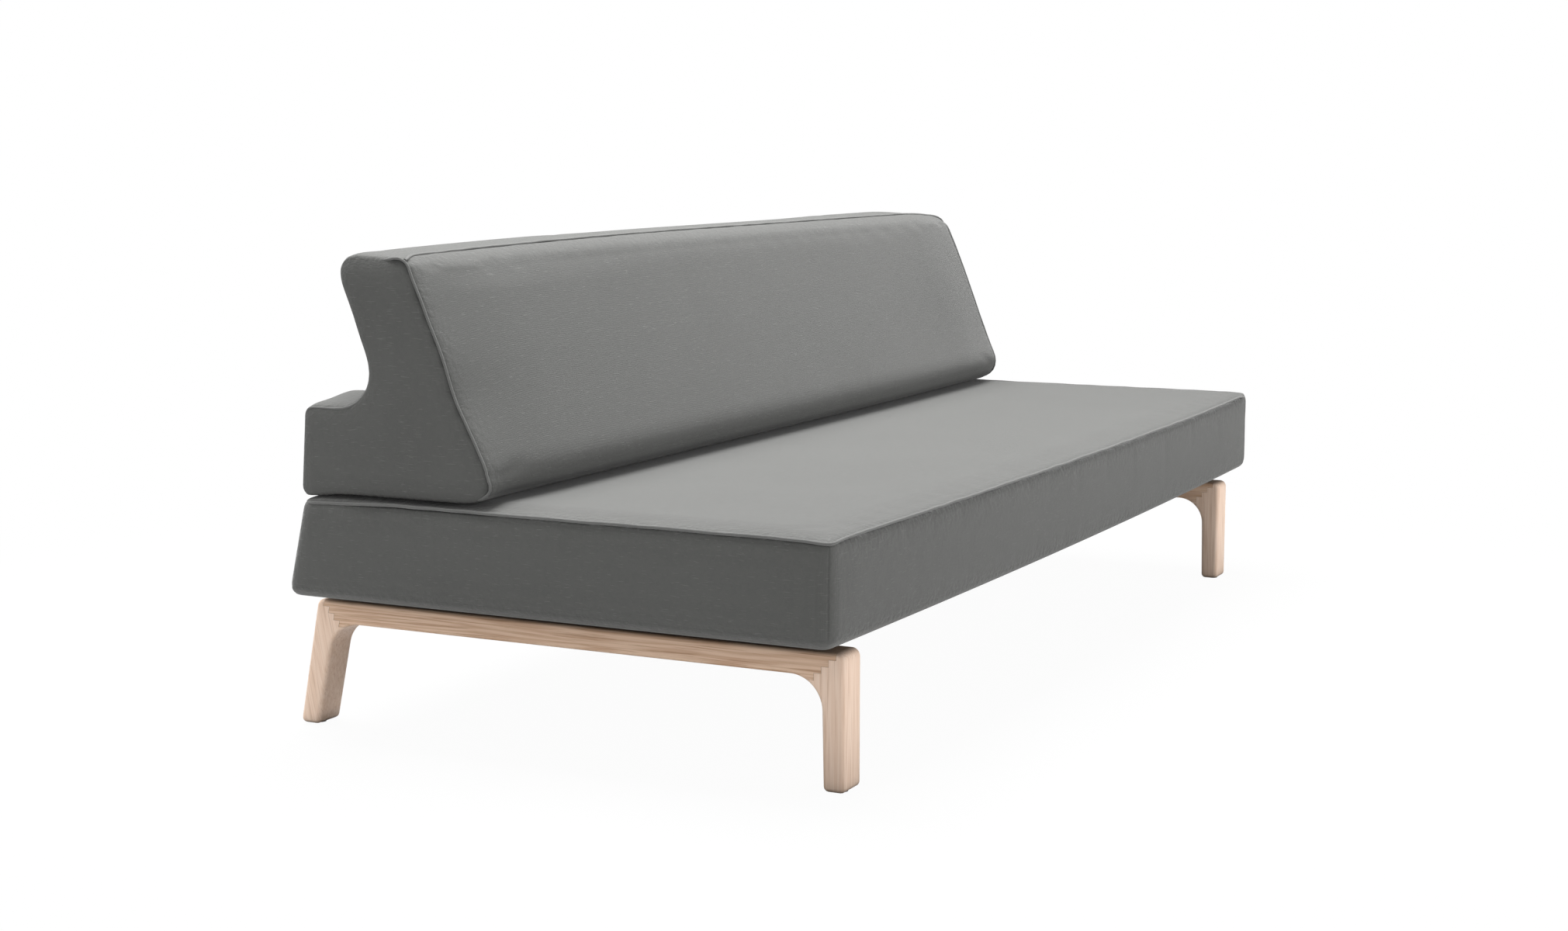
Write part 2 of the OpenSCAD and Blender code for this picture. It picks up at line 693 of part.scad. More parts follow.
module seat_foam() {
  shoulder = [[0, seam_h - 2 * welt_gap, 1, 0, 0], [2 * welt_gap, seam_h, 0, 1, 0]];
  levels = concat(bottom_levels, [side_levels[1], side_levels[2], side_levels[3]], shoulder,
                  [for (i = [1:len(top_levels) - 1]) top_levels[i]]);
  loops = [for (level = levels) skin_loop(level, skin)];
  n = len(levels) * loop_size;
  last = n - loop_size;
  mid_y = (seat_front_y + seat_rear_y) / 2;
  color([0.93, 0.9, 0.78])
    difference() {
      polyhedron(
        concat(flat(loops), [[0, mid_y, seat_z + skin], [0, mid_y, seat_top_z - skin]]),
        concat([for (k = [0:len(levels) - 2], i = [0:loop_size - 1])
                 let (a = k * loop_size + i, b = k * loop_size + (i + 1) % loop_size)
                 each [[a, a + loop_size, b + loop_size], [a, b + loop_size, b]]],
               [for (i = [0:loop_size - 1])
                 let (j = (i + 1) % loop_size)
                 each [[i, j, n], [last + i, n + 1, last + j]]]));
      translate([-timber_half_l - ease, timber_front_y - ease, seat_z])
        cube([2 * (timber_half_l + ease), timber_rear_y - timber_front_y + 2 * ease,
              timber_z - seat_z + beam_h + ease]);
    }
}

// Back cushion

foot_rear_y = seat_rear_y + back_overhang;
foot_front_y = foot_rear_y - foot_d;
ledge_z = back_z + foot_h;
ledge_rear_y = foot_rear_y - foot_lean_in;
back_top_z = back_z + back_h;
cove_y = ledge_rear_y - ledge_d;
back_corners = [[foot_front_y, back_z], [foot_rear_y, back_z], [ledge_rear_y, ledge_z],
                [cove_y, ledge_z], [cove_y + (back_h - foot_h) * tan(rear_lean), back_top_z],
                [foot_front_y + back_h * tan(front_lean), back_top_z]];
function back_arc(i, r, n) =
  let (size = len(back_corners))
  round_corner(back_corners[(i + size - 1) % size], back_corners[i], back_corners[(i + 1) % size],
               r, n);

// The rear half of the side view runs up from the heel and the front half down to the nose.
// Both have as many points, so that each rear point faces a front one.
heel = back_arc(1, heel_r, 3);
ledge_edge = back_arc(2, ledge_r, 3);
cove = back_arc(3, cove_r, 4);
crest = back_arc(4, crest_r, 4);
brow = back_arc(5, brow_r, 5);
nose = back_arc(0, nose_r, 5);
ledge_share = (brow[4][1] - ledge_z) / (brow[4][1] - nose[0][1]);  // down the straight front
above_shares = [0.2, 0.4, 0.77];
below_shares = [0.2, 0.45, 0.72];
front_shares = concat([for (s = above_shares) s * ledge_share],
                      [for (s = below_shares) ledge_share + s * (1 - ledge_share)]);
back_rear = concat(heel, side_points(heel[2], ledge_edge[0], half_share), ledge_edge, cove,
                   side_points(cove[3], crest[0], half_share), crest);
back_front = concat(brow, side_points(brow[4], nose[0], front_shares), nose);
back_n = len(back_rear);
top_cols = 4;                              // cells across the end panels

// A point of the side view, swelled by g and lying at a depth under the cloth's face
function back_yz(p, g, depth) =
  [p[0] + (g - depth) * p[2], max(p[1] + (g - depth) * p[3], back_z + depth)];
back_seam_x = sofa_l / 2 - back_inset - end_bulge;
function back_swell(x) = back_crown * swell(back_seam_x - abs(x), back_crown_reach);

// Stations along the cushion, close together where it swells
station_shares = [0, 0.1, 0.3, 0.6, 1];
function stations(half) =
  concat([for (s = station_shares) -half + s * back_crown_reach], [0],
         [for (s = reversed(station_shares)) half - s * back_crown_reach]);

// Rows of cloth along the cushion for a list of points of the side view
function back_rows(points, depth, half) =
  [for (p = points) [for (x = stations(half)) let (q = back_yz(p, back_swell(x), depth))
    [x, q[0], q[1]]]];
module back_strip(points) {
  half = back_seam_x - welt_gap;
  color(wool) cloth_panel(back_rows(points, 0, half), back_rows(points, cover_t, half));
}

// The top between its corded front seam and the rear edge
seam_start = [brow[0][0] + 2 * welt_gap, brow[0][1], 0, 1];
seam_mid = [brow[0][0] + welt_gap, brow[0][1], 0, 1];
module back_front_panel() { back_strip(back_front); }
module back_rear_panel() {
  back_strip(concat([for (i = [6:back_n - 1]) back_rear[i]],
                    side_points(crest[3], seam_start, half_share), [seam_start]));
}
module back_foot_panel() { back_strip([for (i = [0:6]) back_rear[i]]); }
module back_base_panel() {
  back_strip(concat([nose[4]], side_points(nose[4], heel[0], third_shares), [heel[0]]));
}

// End panel: cells between facing points of the front and the rear, swelled outwards
module back_end_panel(side) {
  function rows(depth) = [for (i = [0:back_n - 1])
    let (a = back_yz(back_rear[i], -welt_gap, 0), b = back_yz(back_front[back_n - 1 - i], -welt_gap, 0))
    [for (j = [0:top_cols])
      let (u = j / top_cols, v = i / (back_n - 1), q = a * (1 - u) + b * u,
           puff = end_bulge * 16 * u * (1 - u) * v * (1 - v))
      [back_seam_x + puff - depth, q[0], max(q[1], back_z + welt_r + welt_gap)]]];
  color(wool) mirror([side < 0 ? 1 : 0, 0, 0]) cloth_panel(rows(0), rows(cover_t));
}
module back_left_panel() { back_end_panel(-1); }
module back_right_panel() { back_end_panel(1); }

module back_end_welts() {
  ring = concat(back_rear, back_front);
  color(wool)
    for (side = [-1, 1])
      cord([for (p = ring)
             let (q = back_yz(p, 0, 0)) [side * back_seam_x, q[0], max(q[1], back_z + welt_r)]],
           [1, 0, 0], true);
}

module back_top_welt() {
  half = back_seam_x - 2 * welt_gap;
  color(wool)
    cord([for (x = stations(half))
           let (q = back_yz(seam_mid, back_swell(x) + 2 * ease, 0)) [x, q[0], q[1]]],
         [0, 0, 1], false);
}

// Foam of the back cushion, in two blocks glued along a level just above the swelled ledge
glue_rise = 6;
module back_foam() {
  half = back_seam_x - skin - welt_gap;
  ring_solid([for (x = stations(half))
    [for (p = concat(back_rear, back_front)) let (q = back_yz(p, back_swell(x), skin))
      [x, q[0], q[1]]]]);
}
module foot_side() {
  past = back_crown + over;
  translate([-sofa_l / 2, foot_front_y - past, back_z - over])
    cube([sofa_l, foot_d + 2 * past, foot_h + back_crown + glue_rise + over]);
}

// Plywood boards inside the back cushion

board_z = back_z + skin;
board_half_l = back_seam_x - board_end;
board_front_y = foot_front_y + board_front;
board_rear_y = foot_rear_y - board_rear;
board_top_z = board_z + board_t;
upright_y = cove_y - upright_setback;
upright_h = back_h - skin - board_t - board_over;
upright_w = board_t / cos(upright_lean);   // thickness measured along the base board
rib_pitch = 2 * board_half_l / rib_count;
rib_xs = [for (i = [1:rib_count]) -board_half_l + (i - 0.5) * rib_pitch];
upright_xs = [for (i = [0:rib_count]) -board_half_l + i * rib_pitch
                                      + (i == 0 ? rib_t : i == rib_count ? -rib_t : 0)];
rib_front_y = upright_y + upright_w;
rib_rear_y = board_rear_y - rib_t;
rib_screw_shares = [0.3, 0.75];

module base_board_shape(play) {
  translate([-board_half_l - play, board_front_y - play, board_z - (play > 0 ? over : 0)])
    cube([2 * (board_half_l + play), board_rear_y - board_front_y + 2 * play,
          board_t + play + (play > 0 ? over : 0)]);
}

module upright_shape(play) {
  lean = tan(upright_lean);
  h = upright_h + play;
  translate([-board_half_l - play, upright_y, board_top_z])
    rotate([90, 0, 90])
      linear_extrude(2 * (board_half_l + play))
        polygon([[-play, 0], [upright_w + play, 0], [upright_w + play + h * lean, h],
                 [h * lean - play, h]]);
}

module rib_shape(play) {
  lean = tan(upright_lean);
  for (x = rib_xs)
    translate([x - rib_t / 2 - play, 0, board_top_z])
      rotate([90, 0, 90])
        linear_extrude(rib_t + 2 * play)
          polygon([[rib_front_y, 0], [rib_rear_y + play, 0], [rib_rear_y + play, rib_tail_h + play],
                   [rib_front_y + (rib_h + play) * lean + rib_t, rib_h + play],
                   [rib_front_y + (rib_h + play) * lean, rib_h + play]]);
}

module board_screws(play) {
  for (x = rib_xs, s = rib_screw_shares)
    translate([x, rib_front_y * (1 - s) + rib_rear_y * s, board_z]) screw(play);
  for (x = upright_xs)                     // these lean with the board and sink until flush
    translate([x, upright_y + upright_w / 2 - board_t * tan(upright_lean), board_z])
      rotate([-upright_lean, 0, 0])
        translate([0, 0, screw_head_d / 2 * sin(upright_lean)]) screw(play);
}

module back_base_board() {
  color([0.78, 0.66, 0.47])
    difference() {
      base_board_shape(0);
      board_screws(screw_play);
    }
}
module back_upright_board() {
  color([0.78, 0.66, 0.47])
    difference() {
      upright_shape(0);
      board_screws(screw_play);
    }
}
module back_ribs() {
  color([0.78, 0.66, 0.47])
    difference() {
      rib_shape(0);
      board_screws(screw_play);
    }
}
module back_screws() { color("silver") board_screws(0); }

module boards_cavity() {
  base_board_shape(ease);
  upright_shape(ease);
  rib_shape(ease);
}
module back_foot_foam() {
  color([0.93, 0.9, 0.78])
    difference() {
      intersection() {
        back_foam();
        foot_side();
      }
      boards_cavity();
    }
}
module back_upper_foam() {
  color([0.93, 0.9, 0.78])
    difference() {
      back_foam();
      foot_side();
      boards_cavity();
    }
}

left_rail();
right_rail();
left_front_leg();
right_front_leg();
left_rear_leg();
right_rear_leg();
foot_glides();
rail_bolts();
bolt_washers();
seat_spacers();
tee_nuts();
front_beam();
rear_beam();
left_end_beam();
right_end_beam();
left_bearer();
right_bearer();
middle_bearer();
corner_blocks();
frame_screws();
for (i = [1:slat_count])
  slat(i);
seat_foam();
seat_top_panel();
seat_front_panel();
seat_rear_panel();
seat_left_panel();
seat_right_panel();
seat_bottom_panel();
seat_welt();
back_foot_foam();
back_upper_foam();
back_base_board();
back_upright_board();
back_ribs();
back_screws();
back_front_panel();
back_rear_panel();
back_foot_panel();
back_base_panel();
back_left_panel();
back_right_panel();
back_end_welts();
back_top_welt();
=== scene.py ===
import math

import bmesh
import bpy
from mathutils import Matrix, Vector, kdtree, noise


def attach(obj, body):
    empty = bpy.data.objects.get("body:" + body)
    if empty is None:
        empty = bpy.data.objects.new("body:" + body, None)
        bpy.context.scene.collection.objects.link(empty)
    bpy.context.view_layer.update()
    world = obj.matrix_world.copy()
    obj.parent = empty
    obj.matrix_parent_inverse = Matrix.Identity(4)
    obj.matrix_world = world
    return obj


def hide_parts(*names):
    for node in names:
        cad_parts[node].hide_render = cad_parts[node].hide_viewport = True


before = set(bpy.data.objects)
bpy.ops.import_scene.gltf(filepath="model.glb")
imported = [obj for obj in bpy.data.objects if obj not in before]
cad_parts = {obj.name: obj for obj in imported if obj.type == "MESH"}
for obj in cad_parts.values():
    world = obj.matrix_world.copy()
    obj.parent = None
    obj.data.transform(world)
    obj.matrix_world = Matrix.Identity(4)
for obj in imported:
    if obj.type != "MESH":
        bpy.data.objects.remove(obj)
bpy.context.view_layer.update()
scene = bpy.context.scene

# Camera. It stands low, in front of the sofa's left end, and looks slightly down along the length
# with the photograph's focal length, so near and far end keep their sizes.
camera_place = (-3.7424, -1.7468, 0.8805)
camera_yaw, camera_pitch, camera_roll = (math.radians(turn) for turn in (26.370, 7.847, 0.040))
right_angle = math.radians(90.0)
camera_data = bpy.data.cameras.new("camera")
camera_data.sensor_width = 36.0
camera_data.lens = 54.57
camera = bpy.data.objects.new("camera", camera_data)
scene.collection.objects.link(camera)
camera.matrix_world = (
    Matrix.Translation(camera_place)
    @ Matrix.Rotation(camera_yaw - right_angle, 4, "Z")
    @ Matrix.Rotation(right_angle - camera_pitch, 4, "X")
    @ Matrix.Rotation(camera_roll, 4, "Z")
)
scene.camera = camera

# Seat. A thick foam block over a timber frame wears a sewn cover of fine wool-like cloth: a top
# panel, four side panels and a dark lining. The panels are drawn in at a corded seam round the top,
# at four upright corner seams and at a plain seam just above the bottom edge.
seat_half_l = 0.997
seat_front_y = -0.4545
seat_rear_y = 0.4020
seat_low_z = 0.214
seat_seam_z = 0.358
seat_rear_lean = math.tan(math.radians(13.0))
seat_rear_foot_y = seat_rear_y + (seat_seam_z - seat_low_z) * seat_rear_lean
seat_corner_r = 0.024
seat_edge_r = 0.0185
seat_grid = 0.0145
seat_crown = 0.0107
seat_crown_reach = 0.06
seat_bow = 0.0145
seat_side_bulge = 0.0026
low_seam_z = seat_low_z + 0.0145
seam_half_w = 0.0045
# Width of the painted shade along each seam
seam_shade_w = 0.0027
seam_reach_share = 0.65
upright_seam_in = 0.293 * seat_corner_r
top_seam_depth, shoulder_depth, upright_seam_depth, low_seam_depth = 0.0038, 0.0012, 0.0016, 0.0008
seam_rise, far_end_rise, far_corner_rise, sharp_corner_out = 0.0032, 0.0030, 0.0025, 0.0046


def cuts(bm, geom_of, low, high, step, axis):
    """Cuts the mesh on evenly spaced planes square to an axis."""
    count = max(1, round((high - low) / step))
    normal = Vector([float(i == axis) for i in range(3)])
    for i in range(count + 1):
        place = normal * (low + (high - low) * i / count)
        bmesh.ops.bisect_plane(bm, geom=geom_of(), dist=1e-6, plane_co=place, plane_no=normal)


def everything(bm):
    return lambda: bm.verts[:] + bm.edges[:] + bm.faces[:]


def new_piece(name, bm):
    mesh = bpy.data.meshes.new(name)
    bm.normal_update()
    bm.to_mesh(mesh)
    bm.free()
    piece = bpy.data.objects.new(name, mesh)
    scene.collection.objects.link(piece)
    for polygon in mesh.polygons:
        polygon.use_smooth = True
    return piece


def rise(distance, reach):
    return 1.0 - (1.0 - min(max(distance, 0.0) / reach, 1.0)) ** 2


def ease(value, low, high):
    """Goes smoothly from 0 at the low value to 1 at the high one."""
    share = max(0.0, min(1.0, (value - low) / (high - low)))
    return share * share * (3.0 - 2.0 * share)


bm = bmesh.new()
bmesh.ops.create_cube(bm, size=2.0)
for v in bm.verts:
    y = seat_front_y if v.co.y < 0 else (seat_rear_y if v.co.z > 0 else seat_rear_foot_y)
    v.co = (v.co.x * seat_half_l, y, seat_seam_z if v.co.z > 0 else seat_low_z)
upright = [e for e in bm.edges if abs(e.verts[0].co.z - e.verts[1].co.z) > 0.1]
bmesh.ops.bevel(bm, geom=upright, offset=seat_corner_r, segments=6, affect="EDGES", profile=0.5,
                material=-1)
bottom = [e for e in bm.edges if max(v.co.z for v in e.verts) < seat_low_z + 1e-5]
bmesh.ops.bevel(bm, geom=bottom, offset=seat_edge_r, segments=4, affect="EDGES", profile=0.5,
                material=-1)
top = max(bm.faces, key=lambda f: f.calc_center_median().z)
seat_seam_path = [v.co.copy() for v in top.verts]
bmesh.ops.inset_region(bm, faces=[top], thickness=seam_half_w, use_even_offset=True)
for z in (seat_seam_z - 2.2 * seam_half_w, seat_seam_z - seam_half_w, low_seam_z - 0.003, low_seam_z,
          low_seam_z + 0.003):
    bmesh.ops.bisect_plane(bm, geom=everything(bm)(), dist=1e-6, plane_co=(0, 0, z),
                           plane_no=(0, 0, 1))
cuts(bm, everything(bm), low_seam_z + 0.014, seat_seam_z - 0.014, seat_grid, 2)
inner_x = seat_half_l - seat_corner_r - 0.004
cuts(bm, everything(bm), -inner_x, inner_x, seat_grid, 0)
cuts(bm, everything(bm), seat_front_y + seat_corner_r + 0.004,
     seat_rear_y - seat_corner_r - 0.004, seat_grid, 1)
for sx in (-1.0, 1.0):
    for sy in (-1.0, 1.0):
        corner = Vector((sx * seat_half_l, seat_front_y if sy < 0 else seat_rear_y, 0.0))
        for offset in (-0.0019, 0.0019):
            place = corner + Vector((-sx, sy, 0.0)).normalized() * offset
            sides = [f for f in bm.faces
                     if seat_low_z + 0.002 < f.calc_center_median().z < seat_seam_z - 0.001
                     and f.calc_center_median().x * sx > inner_x and f.calc_center_median().y * sy > 0.3]
            around = list({e for f in sides for e in f.edges} | {v for f in sides for v in f.verts})
            slant = Vector((-sx, sy, seat_rear_lean if sy > 0 else 0.0)).normalized()
            place.z = seat_seam_z
            bmesh.ops.bisect_plane(bm, geom=sides + around, dist=1e-6, plane_co=place, plane_no=slant)
bmesh.ops.remove_doubles(bm, verts=bm.verts[:], dist=0.0012)


def bow_at(x):
    """How far the long faces stand out, from nothing at the corners to the full bow."""
    return seat_bow * (1.0 - min(abs(x) / (seat_half_l - seat_corner_r), 1.0) ** 2)


def bowed(co):
    share = 2.0 * (co.y - seat_front_y) / (seat_rear_y - seat_front_y) - 1.0
    return Vector((co.x, co.y + bow_at(co.x) * max(-1.0, min(share, 1.0)), co.z))


for v in bm.verts:
    v.co = bowed(v.co)


def seat_front_at(x):
    return seat_front_y - bow_at(x)


def seat_rear_at(x, z):
    return seat_rear_y + bow_at(x) + (seat_seam_z - z) * seat_rear_lean


def seat_edge_distance(co):
    """How far a point of the top lies inside the seam, which runs round the corners."""
    x_in = seat_half_l - abs(co.x)
    y_in = min(co.y - seat_front_at(co.x), seat_rear_y + bow_at(co.x) - co.y)
    if x_in < seat_corner_r and y_in < seat_corner_r:
        return seat_corner_r - math.hypot(seat_corner_r - x_in, seat_corner_r - y_in)
    return min(x_in, y_in)


def corner_seam_distance(co):
    """How far a point of a side lies from the nearest upright seam, along the side."""
    dx = seat_half_l - upright_seam_in - abs(co.x)
    dy = min(co.y - seat_front_at(co.x), seat_rear_at(co.x, co.z) - co.y) - upright_seam_in
    return math.hypot(dx, dy)


seat_cover = new_piece("seat_cover", bm)
pinned = []
for v in seat_cover.data.vertices:
    co = v.co
    on_top = co.z > seat_seam_z - 1e-4
    side_share = (co.z - low_seam_z) / (seat_seam_z - low_seam_z)
    if on_top:
        co.z += seat_crown * rise(seat_edge_distance(co), seat_crown_reach)
        if seat_edge_distance(co) < seam_half_w + 1e-4:
            pinned.append(v.index)
    elif side_share > 0.0:
        out = seat_side_bulge * 4 * side_share * (1 - side_share)
        out *= ease(corner_seam_distance(co), 0.010, 0.070)
        if abs(co.x) > seat_half_l - 0.001:
            co.x += math.copysign(out, co.x)
        elif co.y < seat_front_at(co.x) + 0.001:
            co.y -= out
        elif co.y > seat_rear_at(co.x, co.z) - 0.001:
            co.y += out
        beside_top_seam = co.z > seat_seam_z - seam_half_w - 1e-4
        if beside_top_seam or side_share < 0.03 or corner_seam_distance(co) < 0.008:
            pinned.append(v.index)
    else:
        pinned.append(v.index)


def inflate(piece, pinned, pressure, cap_of):
    """Lets the cover swell under its foam's pressure between pinned seams, as sewn cloth does."""
    rest = [v.co.copy() for v in piece.data.vertices]
    group = piece.vertex_groups.new(name="seams")
    group.add(pinned, 1.0, "REPLACE")
    cloth = piece.modifiers.new("cloth", "CLOTH")
    cloth.settings.quality = 4
    cloth.settings.mass = 0.3
    cloth.settings.tension_stiffness = 20.0
    cloth.settings.compression_stiffness = 20.0
    cloth.settings.shear_stiffness = 8.0
    cloth.settings.bending_stiffness = 1.5
    cloth.settings.shrink_min = -0.003
    cloth.settings.use_pressure = True
    cloth.settings.uniform_pressure_force = pressure
    cloth.settings.vertex_group_mass = group.name
    cloth.settings.effector_weights.gravity = 0.0
    cloth.point_cache.frame_start = 1
    cloth.point_cache.frame_end = 20
    for f in range(1, 21):
        scene.frame_set(f)
    swollen = piece.evaluated_get(bpy.context.evaluated_depsgraph_get()).to_mesh()
    moved = [v.co - co for v, co in zip(swollen.vertices, rest)]
    piece.to_mesh_clear()
    piece.modifiers.remove(cloth)
    piece.vertex_groups.remove(group)
    scene.frame_set(1)
    for v, co, move in zip(piece.data.vertices, rest, moved):
        cap = cap_of(co)
        if move.length > 1e-7:
            v.co = co + move * (cap * math.tanh(move.length / cap) / move.length)


inflate(seat_cover, pinned, 4.0,
        lambda co: 0.0016 if co.z > seat_seam_z - 1e-4 else 0.0005)


def draw_in(piece, depth_of):
    """Pulls the cloth along its normals, into its seams and a little unevenly beside them."""
    normals = [v.normal.copy() for v in piece.data.vertices]
    for v, normal in zip(piece.data.vertices, normals):
        v.co -= normal * depth_of(v.co)


def seat_seam_depth(co):
    edge = seat_edge_distance(co)
    depth = 0.0
    if co.z > seat_seam_z - 0.004 and abs(edge) < 0.0012:
        depth = top_seam_depth
    elif abs(co.z - (seat_seam_z - seam_half_w)) < 0.0008:
        depth = shoulder_depth
    elif abs(co.z - low_seam_z) < 0.0008:
        depth = low_seam_depth
    elif low_seam_z < co.z < seat_seam_z - seam_half_w and corner_seam_distance(co) < 0.0015:
        depth = upright_seam_depth
    if co.z > seat_seam_z - 0.06 and edge < 0.09:
        near = math.exp(-abs(edge) / 0.02) * math.exp(-max(0.0, seat_seam_z - co.z) / 0.012)
        depth += 0.0009 * near * noise.noise(Vector((co.x * 24, co.y * 24, 3.1)))
    return depth


def seat_seam_distance(co):
    """How far a point of the cover lies from the nearest seam, further where a seam is hardly seen."""
    faded_rear = 0.0024 * ease(co.y, 0.24, 0.37)
    if co.z > seat_seam_z - 1e-4:
        return seam_reach_share * seat_edge_distance(co) + faded_rear
    if co.z < low_seam_z - 0.006:
        return 1.0
    return min(seam_reach_share * (seat_seam_z - co.z) + faded_rear,
               0.0018 + abs(co.z - low_seam_z), 0.0007 + corner_seam_distance(co))


def seat_settled(co):
    """The seam dips to the left corners, stays up at the right ones and turns sharply at the left front."""
    corner = corner_seam_distance(co)
    at_seam = math.exp(-max(0.0, seat_seam_z - co.z) / 0.018)
    dip = math.exp(-corner / 0.030) * (co.x < 0.0)
    edge = abs(seat_edge_distance(co))
    up = seam_rise * (1.0 - dip) * math.exp(-edge / 0.020)
    up += far_corner_rise * math.exp(-(corner / 0.050) ** 2) * (co.x > 0.0)
    up += far_end_rise * ease(co.x, 0.6, 0.97) * math.exp(-edge / 0.060)
    out = sharp_corner_out * math.exp(-(corner / 0.012) ** 2) * (co.x < 0.0 and co.y < 0.0)
    return co + at_seam * Vector((math.copysign(out, co.x), -out, up))


def mark_seams(piece, distance_of):
    """Keeps how near each point lies to a seam, for the cloth's puckers and the painted shade along the
    seam.
    """
    near_marks = piece.data.attributes.new("near_seam", "FLOAT", "POINT")
    distances = [max(distance_of(v.co), 0.0) for v in piece.data.vertices]
    for mark, distance in zip(near_marks.data, distances):
        mark.value = math.exp(-distance / 0.012)
    seam_shade_marks = piece.data.attributes.new("seam_shade", "FLOAT", "POINT")
    for mark, distance in zip(seam_shade_marks.data, distances):
        mark.value = max(0.0, 1.0 - distance / seam_shade_w)


mark_seams(seat_cover, seat_seam_distance)
draw_in(seat_cover, seat_seam_depth)
for v in seat_cover.data.vertices:
    v.co = seat_settled(v.co)
smooth = seat_cover.modifiers.new("smooth", "SUBSURF")
smooth.levels = smooth.render_levels = 1


